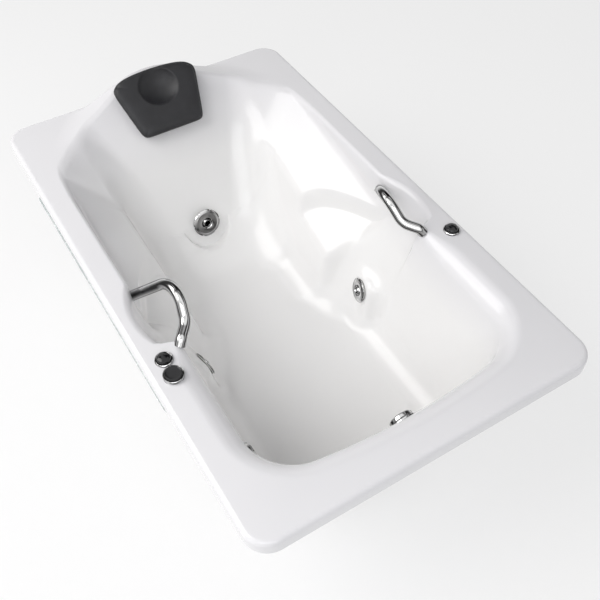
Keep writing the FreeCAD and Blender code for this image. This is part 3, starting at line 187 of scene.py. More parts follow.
# ------------------------------------------------------------ small makers
def new_object(name, verts, faces, finish, body, nodes=(), sharp=38.0, weld=0.0):
    mesh = bpy.data.meshes.new(name)
    mesh.from_pydata([tuple(v) for v in verts], [], [tuple(f) for f in faces])
    bm = bmesh.new()
    bm.from_mesh(mesh)
    if weld:
        bmesh.ops.remove_doubles(bm, verts=bm.verts, dist=weld)
        bmesh.ops.dissolve_degenerate(bm, edges=bm.edges, dist=weld)
    bmesh.ops.recalc_face_normals(bm, faces=bm.faces)
    bm.to_mesh(mesh)
    bm.free()
    obj = bpy.data.objects.new(name, mesh)
    bpy.context.scene.collection.objects.link(obj)
    mesh.materials.append(finish)
    soften(mesh, sharp)
    if body:
        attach(obj, body)
    if nodes:
        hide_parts(*nodes)
    return obj


def soften(mesh, degrees):
    # smooth shading, with real corners kept sharp
    bm = bmesh.new()
    bm.from_mesh(mesh)
    for f in bm.faces:
        f.smooth = True
    for e in bm.edges:
        e.smooth = not (len(e.link_faces) == 2 and e.calc_face_angle(0.0) > radians(degrees))
    bm.to_mesh(mesh)
    bm.free()


def frame_at(pos, way, side):
    z = Vector(way).normalized()
    x = Vector(side)
    x = (x - z * x.dot(z)).normalized()
    y = z.cross(x)
    return Matrix(((x.x, y.x, z.x, pos[0]), (x.y, y.y, z.y, pos[1]), (x.z, y.z, z.z, pos[2]), (0, 0, 0, 1)))


def sandwich(nu, nv):
    # faces of the closed body between two grids of nu by nv points
    n = nu * nv
    faces = []
    for i in range(nu - 1):
        for j in range(nv - 1):
            k = i * nv + j
            faces += [(k, k + nv, k + nv + 1, k + 1), (n + k, n + k + 1, n + k + nv + 1, n + k + nv)]
    edge = [(i, 0) for i in range(nu - 1)] + [(nu - 1, j) for j in range(nv - 1)]
    edge += [(i, nv - 1) for i in range(nu - 1, 0, -1)] + [(0, j) for j in range(nv - 1, 0, -1)]
    for (i, j), (k, m) in zip(edge, edge[1:] + edge[:1]):
        a, b = i * nv + j, k * nv + m
        faces.append((a, n + a, n + b, b))
    return faces


def rounded(points, radii, steps):
    # polyline with each inner corner turned on an arc; works in two or three dimensions
    p = [Vector(q) for q in points]
    if not isinstance(radii, (tuple, list)):
        radii = [radii] * (len(p) - 2)
    out = [p[0]]
    for i, r in enumerate(radii, 1):
        a = p[i - 1] - p[i]
        b = p[i + 1] - p[i]
        turn = pi - a.angle(b)
        if turn < 0.02 or r <= 0:
            out.append(p[i])
            continue
        back = r * tan(turn / 2)
        a.normalize()
        b.normalize()
        centre = p[i] + (a + b).normalized() * (r / cos(turn / 2))
        start = p[i] + a * back - centre
        end = p[i] + b * back - centre
        for k in range(steps + 1):
            t = k / steps
            share = (sin((1 - t) * turn) / sin(turn), sin(t * turn) / sin(turn))
            out.append(centre + start * share[0] + end * share[1])
    out.append(p[-1])
    return out


def lathe(profile, count, place, soft=0.0, shape=None, closed=True):
    # body of revolution from (radius, height) corners in mm, its corners softened
    pts = [Vector((r, z)) for r, z in profile]
    if soft and closed:
        loop = [pts[-1]] + pts + [pts[0]]
        pts = rounded(loop, soft, 3)[1:-1]
    elif soft:
        pts = rounded(pts, soft, 3)
    verts = []
    for k in range(count):
        a = 2 * pi * k / count
        for q in pts:
            r = shape(a, q.x, q.y) if shape else q.x
            verts.append(place @ Vector((r * cos(a), r * sin(a), q.y)) * MM)
    n = len(pts)
    faces = []
    for k in range(count):
        m = (k + 1) % count
        for i in range(n if closed else n - 1):
            j = (i + 1) % n
            faces.append((k * n + i, m * n + i, m * n + j, k * n + j))
    return verts, faces


def tube(path, r, count):
    # round tube along a path in mm, with closed ends
    n = len(path)
    ways = [(path[min(i + 1, n - 1)] - path[max(i - 1, 0)]).normalized() for i in range(n)]
    side = ways[0].orthogonal().normalized()
    verts = []
    for i in range(n):
        side = (side - ways[i] * side.dot(ways[i])).normalized()
        other = ways[i].cross(side)
        for k in range(count):
            a = 2 * pi * k / count
            verts.append((path[i] + side * (r * cos(a)) + other * (r * sin(a))) * MM)
    faces = []
    for i in range(n - 1):
        for k in range(count):
            m = (k + 1) % count
            faces.append((i * count + k, i * count + m, (i + 1) * count + m, (i + 1) * count + k))
    faces.append(tuple(range(count)))
    faces.append(tuple((n - 1) * count + k for k in range(count)))
    return verts, faces


# ------------------------------------------------------------ materials
def material(name, color, rough, metal=0.0, coat=0.0, ior=1.5):
    m = bpy.data.materials.new(name)
    m.use_nodes = True
    shader = m.node_tree.nodes["Principled BSDF"]
    shader.inputs["Base Color"].default_value = (*color, 1)
    shader.inputs["Roughness"].default_value = rough
    shader.inputs["Metallic"].default_value = metal
    shader.inputs["IOR"].default_value = ior
    shader.inputs["Coat Weight"].default_value = coat
    shader.inputs["Coat Roughness"].default_value = 0.05
    return m, m.node_tree, shader


def link(tree, a, b):
    tree.links.new(a, b)


def colour(tree, shader, value, stops):
    # base colour from a ramp over a value
    link(tree, ramp(tree, value, stops), shader.inputs["Base Color"])


def coords(tree, stretch=(1, 1, 1)):
    where = tree.nodes.new("ShaderNodeTexCoord")
    turn = tree.nodes.new("ShaderNodeMapping")
    turn.inputs["Scale"].default_value = stretch
    link(tree, where.outputs["Object"], turn.inputs["Vector"])
    return turn.outputs["Vector"]


def noise(tree, at, scale, detail=4.0, rough=0.55):
    n = tree.nodes.new("ShaderNodeTexNoise")
    n.inputs["Scale"].default_value = scale
    n.inputs["Detail"].default_value = detail
    n.inputs["Roughness"].default_value = rough
    link(tree, at, n.inputs["Vector"])
    return n.outputs["Fac"]


def ramp(tree, value, stops):
    r = tree.nodes.new("ShaderNodeValToRGB")
    while len(r.color_ramp.elements) < len(stops):
        r.color_ramp.elements.new(0.5)
    for e, (pos, col) in zip(r.color_ramp.elements, stops):
        e.position = pos
        e.color = (*col, 1) if len(col) == 3 else col
    link(tree, value, r.inputs["Fac"])
    return r.outputs["Color"]


def grey(v):
    return (v, v, v)


def spread(tree, value, low, high, into):
    m = tree.nodes.new("ShaderNodeMapRange")
    m.inputs["From Min"].default_value = 0.3
    m.inputs["From Max"].default_value = 0.7
    m.inputs["To Min"].default_value = low
    m.inputs["To Max"].default_value = high
    link(tree, value, m.inputs["Value"])
    link(tree, m.outputs["Result"], into)


def bump(tree, shader, value, distance, strength=1.0):
    b = tree.nodes.new("ShaderNodeBump")
    b.inputs["Distance"].default_value = distance
    b.inputs["Strength"].default_value = strength
    link(tree, value, b.inputs["Height"])
    link(tree, b.outputs["Normal"], shader.inputs["Normal"])


def acrylic_finish():
    # cast acrylic: glossy, faint orange peel; painted light: the deck is painted darker and bluer and the
    # hollow lighter, standing in for the light and shade that fall on each
    m, t, s = material("acrylic", (0.82, 0.82, 0.82), 0.1, coat=0.12)
    s.inputs["Specular IOR Level"].default_value = 0.38
    at = coords(t)
    split = t.nodes.new("ShaderNodeSeparateXYZ")
    link(t, at, split.inputs["Vector"])
    # painted light mask by height: 0 in the hollow, 1 on the deck
    level = t.nodes.new("ShaderNodeMapRange")
    level.inputs["From Min"].default_value = 0.36
    level.inputs["From Max"].default_value = 0.51
    link(t, split.outputs["Z"], level.inputs["Value"])
    cloud = noise(t, at, 3.0, 3.0)
    # painted light: the hollow is painted lighter and the deck darker and bluer; the cloud noise adds random
    # tone to both
    hollow_painted_light = ramp(t, cloud, [(0.3, (0.872, 0.868, 0.866)), (0.7, (0.886, 0.883, 0.88))])
    deck_painted_shade = ramp(t, cloud, [(0.3, (0.80, 0.795, 0.818)), (0.7, (0.818, 0.813, 0.834))])
    mix = t.nodes.new("ShaderNodeMix")
    mix.data_type = "RGBA"
    link(t, level.outputs["Result"], mix.inputs["Factor"])
    link(t, hollow_painted_light, mix.inputs[6])
    link(t, deck_painted_shade, mix.inputs[7])
    link(t, mix.outputs[2], s.inputs["Base Color"])
    spread(t, noise(t, at, 9.0, 5.0), 0.12, 0.2, s.inputs["Roughness"])
    s.inputs["Coat Roughness"].default_value = 0.13
    bump(t, s, noise(t, at, 220.0, 2.0), 0.00003, 0.5)
    return m


def chrome_finish():
    # polished metal, its colour carrying painted reflections: dark streaks and bright bands by the angle it
    # faces, as of a room with dark corners
    tone, rough = 0.62, 0.04
    m, t, s = material("chrome", (tone, tone, tone * 1.02), rough, 1.0)
    at = coords(t)
    facing = t.nodes.new("ShaderNodeLayerWeight")
    facing.inputs["Blend"].default_value = 0.5
    painted_reflection = t.nodes.new("ShaderNodeMath")
    painted_reflection.operation = "MULTIPLY_ADD"
    link(t, noise(t, at, 30.0, 4.0), painted_reflection.inputs[0])
    painted_reflection.inputs[1].default_value = 0.06
    link(t, facing.outputs["Facing"], painted_reflection.inputs[2])
    # painted reflection: base colour in light and dark bands over the facing angle, a little noise added
    colour(t, s, painted_reflection.outputs[0], [(0.0, grey(0.3)), (0.05, grey(tone * 1.2)), (0.1, grey(tone * 1.2)),
                                   (0.15, grey(0.05)), (0.19, grey(0.3)), (0.25, grey(0.45)),
                                   (0.31, grey(0.04)), (0.42, grey(0.02)), (0.52, grey(tone * 0.6)),
                                   (0.64, grey(tone * 1.25)), (0.76, grey(0.1)), (1.0, grey(tone * 0.8))])
    spread(t, noise(t, at, 120.0, 6.0), rough * 0.7, rough * 1.9, s.inputs["Roughness"])
    bump(t, s, noise(t, at, 900.0, 3.0), 0.00001, 0.3)
    return m


def steel_finish():
    m, t, s = material("steel", (0.52, 0.52, 0.53), 0.35, 1.0)
    at = coords(t, (1, 1, 12))
    colour(t, s, noise(t, at, 60.0, 6.0), [(0.25, grey(0.4)), (0.75, grey(0.62))])
    spread(t, noise(t, at, 200.0, 6.0), 0.25, 0.5, s.inputs["Roughness"])
    bump(t, s, noise(t, at, 400.0, 5.0), 0.00004, 0.6)
    return m


def plastic_finish(name, low, high, rough, grain, deep):
    m, t, s = material(name, high, rough)
    at = coords(t)
    colour(t, s, noise(t, at, 14.0, 6.0), [(0.3, low), (0.7, high)])
    spread(t, noise(t, at, 70.0, 6.0), rough * 0.75, min(rough * 1.4, 1.0), s.inputs["Roughness"])
    bump(t, s, noise(t, at, grain, 4.0), deep, 0.8)
    return m


def pillow_finish():
    # self-skinned foam: satin charcoal with a fine leather grain
    m, t, s = material("pillow_skin", (0.02, 0.02, 0.022), 0.46)
    at = coords(t)
    cells = t.nodes.new("ShaderNodeTexVoronoi")
    cells.inputs["Scale"].default_value = 620.0
    cells.feature = "DISTANCE_TO_EDGE"
    link(t, at, cells.inputs["Vector"])
    colour(t, s, noise(t, at, 26.0, 6.0), [(0.3, (0.012, 0.012, 0.014)), (0.7, (0.018, 0.018, 0.021))])
    s.inputs["Specular IOR Level"].default_value = 0.42
    spread(t, noise(t, at, 90.0, 5.0), 0.36, 0.46, s.inputs["Roughness"])
    pits = t.nodes.new("ShaderNodeMapRange")
    pits.inputs["From Max"].default_value = 0.12
    link(t, cells.outputs["Distance"], pits.inputs["Value"])
    bump(t, s, pits.outputs["Result"], 0.00012, 0.6)
    return m


def wood_finish():
    m, t, s = material("plywood", (0.5, 0.36, 0.22), 0.65)
    at = coords(t, (14, 1.2, 60))
    colour(t, s, noise(t, at, 7.0, 9.0, 0.65), [(0.25, (0.32, 0.2, 0.1)), (0.5, (0.5, 0.35, 0.2)),
                                                (0.75, (0.62, 0.47, 0.3))])
    spread(t, noise(t, at, 20.0, 5.0), 0.5, 0.8, s.inputs["Roughness"])
    bump(t, s, noise(t, at, 40.0, 6.0), 0.0003, 0.7)
    return m


def clear_finish():
    m, t, s = material("clear_tube", (0.86, 0.9, 0.9), 0.16)
    s.inputs["Transmission Weight"].default_value = 0.55
    at = coords(t)
    colour(t, s, noise(t, at, 12.0, 4.0), [(0.3, (0.72, 0.78, 0.78)), (0.7, (0.9, 0.93, 0.93))])
    bump(t, s, noise(t, at, 150.0, 3.0), 0.0001, 0.5)
    return m


# name: (darker colour, lighter colour, roughness, grain per metre, grain depth in metres)
PLASTICS = {
    "dark_cap": ((0.005, 0.005, 0.006), (0.01, 0.01, 0.012), 0.11, 300.0, 0.00001),
    "dark_plastic": ((0.02, 0.02, 0.022), (0.045, 0.045, 0.048), 0.5, 500.0, 0.00004),
    "resin_bed": ((0.38, 0.34, 0.22), (0.6, 0.56, 0.42), 0.7, 60.0, 0.002),
    "seal_rubber": ((0.015, 0.015, 0.016), (0.035, 0.035, 0.035), 0.7, 500.0, 0.00004),
    "white_plastic": ((0.62, 0.62, 0.6), (0.76, 0.76, 0.74), 0.32, 500.0, 0.00004),
    "motor_iron": ((0.12, 0.12, 0.125), (0.24, 0.235, 0.23), 0.55, 160.0, 0.0003),
    "motor_paint": ((0.05, 0.075, 0.11), (0.085, 0.115, 0.16), 0.38, 260.0, 0.0001),
}
FINISH = {name: plastic_finish(name, *values) for name, values in PLASTICS.items()}
FINISH.update(acrylic=acrylic_finish(), chrome=chrome_finish(), steel=steel_finish(),
              pillow_skin=pillow_finish(), plywood=wood_finish(), clear_tube=clear_finish())
for name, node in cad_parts.items():
    for i, old in enumerate(node.data.materials):
        key = old.name.split(".")[0] if old else ""
        node.data.materials[i] = FINISH.get(key, FINISH["white_plastic"])


# ------------------------------------------------------------ bath shell
STEP = 9.0 if FINE else 14.0


def outline(inset):
    # points of the right half of the rim's outline, from the head end to the foot end
    w, l, c = RIM_HALF[0] - inset, RIM_HALF[1] - inset, RIM_CORNER - inset
    points = []
    for i in range(int((w - c) / STEP)):
        points.append((i * STEP, l))
    for i in range(25):
        a = radians(90 - 90 * i / 24)
        points.append((w - c + c * cos(a), l - c + c * sin(a)))
    count = int(2 * (l - c) / STEP)
    for i in range(1, count):
        points.append((w, l - c - 2 * (l - c) * i / count))
    for i in range(25):
        a = radians(-90 * i / 24)
        points.append((w - c + c * cos(a), -(l - c) + c * sin(a)))
    for i in range(int((w - c) / STEP) - 1, -1, -1):
        points.append((i * STEP, -l))
    return np.array(points)


def inside_rim(x, y, inset):
    # distance in from the rim's outline
    c = RIM_CORNER - inset
    dx = np.abs(x) - (RIM_HALF[0] - inset - c)
    dy = np.abs(y) - (RIM_HALF[1] - inset - c)
    return c - np.where((dx > 0) & (dy > 0), np.hypot(dx, dy), np.maximum(dx, dy))


def sheet(depth, inset, edge, rows, fine):
    # surface of the moulding at a depth, as columns of points from the middle out to the rim
    target = outline(inset)
    start = np.stack([np.zeros(len(target)), np.clip(target[:, 1], -450.0, 400.0)], 1)
    reach = np.hypot(*(target - start).T)
    tail = edge * 1.3 * (1.0 - np.cos(np.linspace(pi / 2, 0, 12)))
    u = np.concatenate([np.linspace(0, 1, fine)[None, :] * (1 - edge * 1.35 / reach[:, None]),
                        1 - tail[None, :] / reach[:, None]], 1)
    x = start[:, :1] + (target[:, :1] - start[:, :1]) * u
    y = start[:, 1:] + (target[:, 1:] - start[:, 1:]) * u
    z = height(x, y, depth)
    d = np.clip(inside_rim(x, y, inset), 0.0, edge)
    z = z - (edge - np.sqrt(np.maximum(edge ** 2 - (edge - d) ** 2, 0.0)))
    p = np.stack([x, y, z], 2)
    seg = np.diff(p, axis=1)
    length = np.linalg.norm(seg, axis=2)
    way = seg / np.maximum(length[:, :, None], 1e-9)
    turn = np.arccos(np.clip((way[:, 1:] * way[:, :-1]).sum(2), -1, 1))
    cost = length.copy()
    cost[:, 1:] += 80.0 * turn
    total = np.concatenate([np.zeros((len(p), 1)), np.cumsum(cost, 1)], 1)
    out = np.empty((len(p), rows, 3))
    for i in range(len(p)):
        at = np.linspace(0, total[i, -1], rows)
        for k in range(3):
            out[i, :, k] = np.interp(at, total[i], p[i, :, k])
    return out


def build_shell():
    top = sheet(0.0, 0.0, 12.0, 220 if FINE else 120, 640 if FINE else 320)
    under = sheet(WALL, WALL, 5.0, 90 if FINE else 60, 400)
    n = len(top)
    lip = np.repeat(top[:, -1:, :], 4, 1)
    lip[:, :, 2] = np.linspace(0, 1, 5)[1:] * (-LIP_DEPTH - top[:, -1:, 2]) + top[:, -1:, 2]
    inner = np.repeat(under[:, -1:, :], 4, 1)
    inner[:, :, 2] = np.linspace(0, 1, 5)[:-1] * (under[:, -1:, 2] + LIP_DEPTH) - LIP_DEPTH
    columns = np.concatenate([top, lip, inner, under[:, ::-1, :]], 1)
    mirrored = columns[n - 2:0:-1] * np.array([-1.0, 1.0, 1.0])
    ring = np.concatenate([columns, mirrored], 0)
    count, rows = ring.shape[:2]
    ring[:, :, 2] += RIM_Z
    verts = (ring * MM).reshape(-1, 3)
    a = (np.arange(count)[:, None] * rows + np.arange(rows - 1)[None, :]).ravel()
    b = (((np.arange(count) + 1) % count)[:, None] * rows + np.arange(rows - 1)[None, :]).ravel()
    faces = np.stack([a, b, b + 1, a + 1], 1)
    return new_object("bath_shell", verts.tolist(), faces.tolist(), FINISH["acrylic"], "bath",
                      ("tub_shell",), weld=0.00002)


def cutter(spots):
    # one mesh of short round rods, each (point, way, radius) through the wall
    verts, faces = [], []
    for pos, way, r in spots:
        place = frame_at(pos, way, (0.3, 1, 0.2) if abs(way[1]) < 0.9 else (1, 0, 0))
        base = len(verts)
        for z in (-28.0, 28.0):
            for k in range(64):
                a = 2 * pi * k / 64
                verts.append(place @ Vector((r * cos(a), r * sin(a), z)) * MM)
        for k in range(64):
            faces.append((base + k, base + (k + 1) % 64, base + 64 + (k + 1) % 64, base + 64 + k))
        faces.append(tuple(base + k for k in range(63, -1, -1)))
        faces.append(tuple(base + 64 + k for k in range(64)))
    mesh = bpy.data.meshes.new("cutter")
    mesh.from_pydata([tuple(v) for v in verts], [], faces)
    obj = bpy.data.objects.new("cutter", mesh)
    bpy.context.scene.collection.objects.link(obj)
    return obj


def cut(obj, spots):
    tool = cutter(spots)
    mod = obj.modifiers.new("holes", "BOOLEAN")
    mod.operation = "DIFFERENCE"
    mod.solver = "EXACT"
    mod.object = tool
    deps = bpy.context.evaluated_depsgraph_get()
    mesh = bpy.data.meshes.new_from_object(obj.evaluated_get(deps))
    obj.modifiers.clear()
    obj.data = mesh
    bpy.data.objects.remove(tool)
    soften(mesh, 38.0)


def mirror_of(v):
    return Vector((-v[0], v[1], v[2]))


JETS = {"right": (SIDE_JET_AT, SIDE_JET_WAY, (0, -1, 0), 37.0),
        "left": (mirror_of(SIDE_JET_AT), mirror_of(SIDE_JET_WAY), (0, 1, 0), 37.0),
        "back": (BACK_JET_AT, BACK_JET_WAY, (1, 0, 0), 45.0)}
shell = build_shell()
holes = [(at, way, 26.3) for at, way, _, _ in JETS.values()]
holes += [(SUCTION_AT, SUCTION_WAY, 30.3), (OVERFLOW_AT, OVERFLOW_WAY, 24.3), (DRAIN_AT, UPRIGHT, 24.3)]
holes += [(at, UPRIGHT, 15.3) for at in (BUTTON_AT, AIR_AT["left"], AIR_AT["right"])]
cut(shell, holes)

# ------------------------------------------------------------ resin bed, moulded to the underside
BED_LOW = 58.2
BED_TOP = 102.8
BED_GRID = (41, 89)
bx, by = np.meshgrid(np.linspace(-150.0, 150.0, BED_GRID[0]), np.linspace(-370.0, 310.0, BED_GRID[1]),
                     indexing="ij")
bz = np.minimum(height(bx, by, WALL) + RIM_Z - 0.5, BED_TOP)
bed = np.stack([np.stack([bx, by, bz], 2), np.stack([bx, by, np.full(bx.shape, BED_LOW)], 2)], 0)
new_object("resin_bed", (bed * MM).reshape(-1, 3).tolist(), sandwich(*BED_GRID), FINISH["resin_bed"],
           "bath", ("floor_bedding",))

# ------------------------------------------------------------ jets
for name, (at, way, side, r) in JETS.items():
    place = frame_at(at, way, side)
    lip = sqrt(16.3 ** 2 - 8.8 ** 2)

    def lobes(a, radius, z, r=r):
        # six thumb scallops round the rim of the ring
        near = (a + pi / 6) % (pi / 3) - pi / 6
        off = abs(r * sin(near))
        bite = r + 2.5 - sqrt(25.0 - off ** 2) if off < 5.0 else r + 9.0
        share = ease((radius - (r - 12.0)) / 12.0)
        soft = min(radius, bite + (1 - share) * 4.0 + (z - 5.0) * 0.15)
        return soft if radius > r - 9.0 else radius

    profile = [(21.7, -12), (21.7, 4.8), (r, 4.8), (r, 6.4), (r - 4, 8.6), (r - 11, 9.8),
               (lip + 4.5, 9.4), (lip + 1.2, 7.4), (16.3, 5.8), (16.3, -12)]
    v, f = lathe(profile, 144, place, 1.1, lobes)
    new_object("jet_ring_trim_" + name, v, f, FINISH["chrome"], "jet_ring_" + name + "_body",
               ("jet_ring_" + name,))
    ball = [(16 * sin(a), 1 + 16 * cos(a)) for a in np.linspace(radians(38.7), radians(123.0), 22)]
    v, f = lathe([(6.0, -7.6), (6.0, 5.6)] + ball, 72, place)
    new_object("jet_eyeball_" + name, v, f, FINISH["chrome"], "jet_nozzle_" + name + "_body",
               ("jet_nozzle_" + name,))

# ------------------------------------------------------------ deck controls
# outlines are (radius, height above the deck)
BUTTON_BEZEL = [(21.6, 3.0), (21.6, 9.0), (24.0, 10.0), (25.0, 9.0), (25.0, 0.3), (15.0, 0.3), (15.0, -32.0),
                (1.4, -32.0), (1.4, -28.0), (11.0, -28.0), (11.0, -0.5), (3.1, -0.5), (3.1, 3.0)]
BUTTON_TOP = [(0, 13.4), (8.0, 13.3), (17.3, 13.4), (19.0, 14.0), (20.6, 14.0), (21.3, 13.0), (21.3, 7.5),
              (3.0, 7.5), (3.0, -7.0), (0, -7.0)]
AIR_BEZEL = [(17.6, 2.0), (17.6, 5.4), (20.0, 6.5), (22.0, 4.5), (22.0, 0.3), (15.0, 0.3), (15.0, -36.0),
             (7.0, -36.0), (7.0, -56.0), (4.5, -56.0), (4.5, -32.0), (11.0, -32.0), (11.0, -6.0),
             (6.1, -6.0), (6.1, 2.0)]
AIR_DOME = [(0, 16.3), (5.0, 16.1), (9.5, 15.2), (14.8, 13.0), (16.6, 10.6), (17.3, 8.0), (17.3, 2.3),
            (6.0, 2.3), (6.0, -11.0), (0, -11.0)]


def control(name, profile, count, at, body, node, slot, soft, shape=None, closed=True):
    v, f = lathe(profile, count, Matrix.Translation(at), soft, shape, closed)
    return new_object(name, v, f, FINISH[slot], body, (node,), weld=0.00001)


control("button_bezel", BUTTON_BEZEL, 96, BUTTON_AT, "bath", "power_button_base", "chrome", 0.6)
control("button_top", BUTTON_TOP, 96, BUTTON_AT, "power_button_body", "power_button", "dark_cap", 0.5,
        closed=False)


def knurl(a, radius, z):
    # shallow flutes round the side of a dome
    if radius <= 16.5:
        return radius
    return radius - 0.35 * (0.5 + 0.5 * cos(36 * a)) * float(ease((12.0 - abs(z - 6.5) * 2.2) / 4.0))


for side, at in AIR_AT.items():
    control("air_bezel_" + side, AIR_BEZEL, 96, at, "bath", "air_control_" + side, "chrome", 0.7)
    control("air_dome_" + side, AIR_DOME, 108, at, "air_knob_" + side + "_body", "air_knob_" + side,
            "dark_cap", 0.8, knurl, False)


# ------------------------------------------------------------ overflow and drain
OVERFLOW_CAP = [(0, 21.3), (14.0, 21.1), (27.0, 20.3), (30.0, 17.3), (30.0, 10.3), (29.0, 8.3), (4.0, 8.3),
                (4.0, -20.0), (0, -20.0)]
DRAIN_CAP = [(0, 11.2), (6.0, 11.0), (12.0, 10.7), (25.0, 8.7), (26.0, 6.7), (24.0, 4.7), (4.0, 4.7),
             (4.0, -36.0), (0, -36.0)]
CAPS = (("overflow_turn_cap", OVERFLOW_CAP, OVERFLOW_AT, OVERFLOW_WAY, 1.4, "overflow_knob"),
        ("drain_cap", DRAIN_CAP, DRAIN_AT, UPRIGHT, 0.8, "drain_stopper"))
for name, profile, at, way, soft, node in CAPS:
    v, f = lathe(profile, 96, frame_at(at, way, (1, 0, 0)), soft, None, False)
    new_object(name, v, f, FINISH["chrome"], node + "_body", (node,), weld=0.00001)

# ------------------------------------------------------------ grab bars
BAR_PATH = ((386.0, 15.0, 460.5), (313.0, -78.0, 562.5), (307.0, -133.0, 562.5), (318.0, -180.0, 520.0),
            (348.0, -214.0, 512.5), (357.0, -221.0, 500.0))
BAR_R = 14.0
BAR_BENDS = [62.0, 60.0, 50.0, 16.0]
STUD_R = 4.0
BAR_STUDS = (((383.06, 11.25, 464.61), (0.999, 0.001, -0.052)),
             ((367.73, -229.34, 485.1), (0.783, -0.428, -0.452)))


def first_solid(start, way, reach):
    # distance from a point in the air to the acrylic's surface
    lo, hi = 0.0, reach
    for _ in range(40):
        mid = (lo + hi) / 2
        p = start + way * mid
        value = float(acrylic(np.array(p.x), np.array(p.y), np.array(p.z - RIM_Z)))
        lo, hi = (mid, hi) if value < 0.0 else (lo, mid)
    return lo


for name, side in (("right", 1), ("left", -1)):
    points = [Vector((side * x, y, z)) for x, y, z in BAR_PATH]
    for end, inner in ((0, 1), (-1, -2)):
        way = (points[end] - points[inner]).normalized()
        start = points[inner] + way * 5.0
        points[end] = start + way * (first_solid(start, way, 190.0) + 3.0)
    v, f = tube(rounded(points, BAR_BENDS, 20), BAR_R, 48)
    for (x, y, z), (a, b, c) in BAR_STUDS:
        way = Vector((side * a, b, c))
        seat = Vector((side * x, y, z))
        base = len(v)
        stud, sides = tube([seat - way * 16.0, seat + way * 21.0], STUD_R, 24)
        v += stud
        f += [tuple(base + i for i in face) for face in sides]
    new_object("hand_rail_" + name, v, f, FINISH["chrome"], "bath", ("grab_bar_" + name,),
               sharp=50.0)

# ------------------------------------------------------------ head pillow
LOW = (553.0, -33.0)
TOP = (681.0, 93.0)


def pillow_point(a, b):
    # four-sided outline, wider at the top, with turned corners and a bowed top edge
    size = np.maximum(np.maximum(np.abs(a), np.abs(b)), 1e-6)
    n = 9.0 - 3.5 * b
    pull = size / ((np.abs(a) + 1e-9) ** n + (np.abs(b) + 1e-9) ** n) ** (1.0 / n)
    u = a * pull
    share = (b * pull + 1.0) / 2.0
    half = 99.0 + 42.0 * share
    length = hypot(TOP[0] - LOW[0], TOP[1] - LOW[1])
    bulge = 13.0 * share ** 2 * (1.0 - u * u) / length
    y = LOW[0] + (TOP[0] - LOW[0]) * (share + bulge)
    z = LOW[1] + (TOP[1] - LOW[1]) * (share + bulge)
    return np.stack([u * half, y, z], -1)


def build_pillow():
    nu, nv = (120, 104) if FINE else (60, 52)
    run = Vector((TOP[0] - LOW[0], TOP[1] - LOW[1])).normalized()
    out = np.array([0.0, -run.y, run.x])
    a = np.sin(pi / 2 * np.linspace(-1, 1, nu))[:, None] * np.ones((1, nv))
    b = np.sin(pi / 2 * np.linspace(-1, 1, nv))[None, :] * np.ones((nu, 1))
    seam = pillow_point(a, b)
    crown = 13.0 * ((1.0 - np.abs(a) ** 9) * (1.0 - np.abs(b) ** 9)) ** 0.5
    dish = pillow_point(np.array(0.0), np.array(0.42))
    off = np.linalg.norm((seam - dish) / np.array([62.0, 56.0, 56.0]), axis=2)
    crown -= 25.0 * np.clip(1.0 - off ** 2, 0.0, 1.0) ** 0.8
    edge = np.maximum(np.abs(a), np.abs(b))
    crown -= 0.9 * np.exp(-((edge - 0.955) / 0.012) ** 2)
    front = seam + out * crown[:, :, None]
    inner = pillow_point(a * 0.93, b * 0.93)
    lo = np.zeros(a.shape)
    hi = np.full(a.shape, 120.0)
    for _ in range(24):
        mid = (lo + hi) / 2
        p = inner - out * mid[:, :, None]
        clear = acrylic(p[:, :, 0], p[:, :, 1], p[:, :, 2]) < -1.0
        lo = np.where(clear, mid, lo)
        hi = np.where(clear, hi, mid)
    back = inner - out * lo[:, :, None]
    verts = np.concatenate([front.reshape(-1, 3), back.reshape(-1, 3)]) + np.array([0, 0, RIM_Z])
    obj = new_object("head_rest_pillow", (verts * MM).tolist(), sandwich(nu, nv), FINISH["pillow_skin"],
                     "bath", ("head_pillow",), sharp=60.0)


build_pillow()


# ------------------------------------------------------------ floor, light and camera
def staged(name, corners, finish):
    mesh = bpy.data.meshes.new(name)
    mesh.from_pydata(corners, [], [(0, 1, 2, 3)])
    obj = bpy.data.objects.new(name, mesh)
    bpy.context.scene.collection.objects.link(obj)
    mesh.materials.append(finish)


def seen_rays(tree):
    # 1 for rays that the camera, a reflection or a clear piece sees
    path = tree.nodes.new("ShaderNodeLightPath")
    value = path.outputs["Is Camera Ray"]
    for name in ("Is Glossy Ray", "Is Transmission Ray"):
        most = tree.nodes.new("ShaderNodeMath")
        most.operation = "MAXIMUM"
        link(tree, value, most.inputs[0])
        link(tree, path.outputs[name], most.inputs[1])
        value = most.outputs[0]
    return value


# dark cards above and to the right, for the streaks in the chrome
CARDS = {"card_top": ((0.5, 0.9, 4.2), (3.0, 0.9, 4.2), (3.0, 3.4, 4.2), (0.5, 3.4, 4.2)),
         "card_right": ((3.3, -2.6, 2.6), (3.3, 3.2, 2.6), (3.3, 3.2, 4.4), (3.3, -2.6, 4.4)),
         "card_left": ((-1.5, 1.9, 4.3), (-0.3, 1.9, 4.3), (-0.3, 3.9, 4.3), (-1.5, 3.9, 4.3))}
for name, corners in CARDS.items():
    staged(name, corners, plastic_finish(name, grey(0.012), grey(0.018), 0.8, 500.0, 0.00004))
FLOOR = 14.0
m, t, s = material("floor", (0.93, 0.93, 0.935), 0.9)
s.inputs["Specular IOR Level"].default_value = 0.0
glow = t.nodes.new("ShaderNodeEmission")
glow.inputs["Color"].default_value = (1.0, 1.0, 1.0, 1)
glow.inputs["Strength"].default_value = 0.985
part = t.nodes.new("ShaderNodeMath")
part.operation = "MULTIPLY"
part.inputs[1].default_value = 0.64
both = t.nodes.new("ShaderNodeMixShader")
link(t, seen_rays(t), part.inputs[0])
link(t, part.outputs[0], both.inputs["Fac"])
link(t, s.outputs["BSDF"], both.inputs[1])
link(t, glow.outputs["Emission"], both.inputs[2])
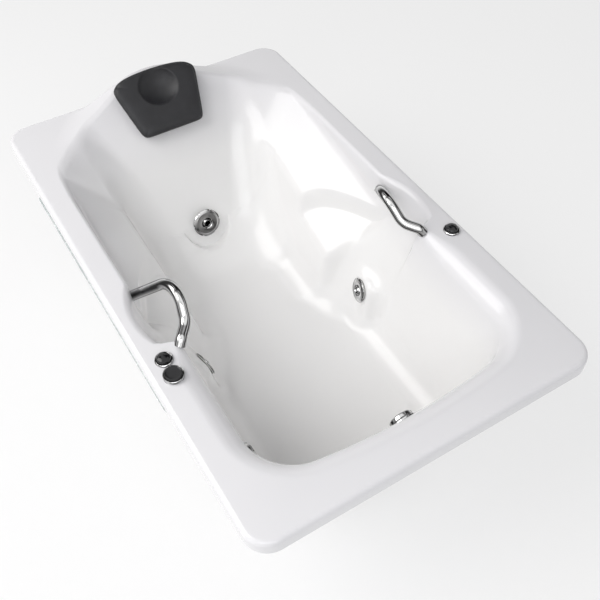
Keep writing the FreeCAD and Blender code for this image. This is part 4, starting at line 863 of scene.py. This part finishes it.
link(t, both.outputs["Shader"], t.nodes["Material Output"].inputs["Surface"])
staged("floor", ((-FLOOR, -FLOOR, 0), (FLOOR, -FLOOR, 0), (FLOOR, FLOOR, 0), (-FLOOR, FLOOR, 0)), m)

world = bpy.data.worlds.new("world")
bpy.context.scene.world = world
world.use_nodes = True
t = world.node_tree
bg = t.nodes["Background"]
level = t.nodes.new("ShaderNodeMapRange")
level.inputs["To Min"].default_value = 0.46
level.inputs["To Max"].default_value = 0.97
link(t, seen_rays(t), level.inputs["Value"])
link(t, level.outputs["Result"], bg.inputs["Strength"])
bg.inputs["Color"].default_value = (1.0, 1.0, 1.0, 1)


def lamp(name, at, target, size, power, color=(1, 1, 1)):
    data = bpy.data.lights.new(name, "AREA")
    data.shape = "RECTANGLE"
    data.size, data.size_y = size
    data.energy = power
    data.color = color
    obj = bpy.data.objects.new(name, data)
    obj.location = at
    obj.rotation_euler = (Vector(target) - Vector(at)).to_track_quat("-Z", "Y").to_euler()
    bpy.context.scene.collection.objects.link(obj)


lamp("key", (-2.7, 1.0, 3.2), (0.1, 0.0, 0.3), (3.2, 3.2), 106.0, (1.0, 0.985, 0.97))
lamp("fill", (-1.4, -2.6, 2.8), (0.0, 0.0, 0.3), (2.6, 1.6), 34.0, (0.97, 0.98, 1.0))

FOCAL = 796.786            # in pixels of a frame 600 pixels wide
SENSOR = 36.0
EYE_AT = (-0.69937, -1.32982, 2.00121)
cam = bpy.data.cameras.new("camera")
cam.lens = FOCAL * SENSOR / 600.0
cam.sensor_width = SENSOR
eye = bpy.data.objects.new("camera", cam)
fwd = Vector((0.334525, 0.550436, -0.764927)).normalized()
up = Vector((0.400949, 0.651430, 0.644111))
right = fwd.cross(up).normalized()
up = right.cross(fwd)
eye.matrix_world = Matrix([(right[k], up[k], -fwd[k], EYE_AT[k]) for k in range(3)] + [(0, 0, 0, 1)])
bpy.context.scene.collection.objects.link(eye)
bpy.context.scene.camera = eye
bpy.context.scene.view_settings.view_transform = "Standard"
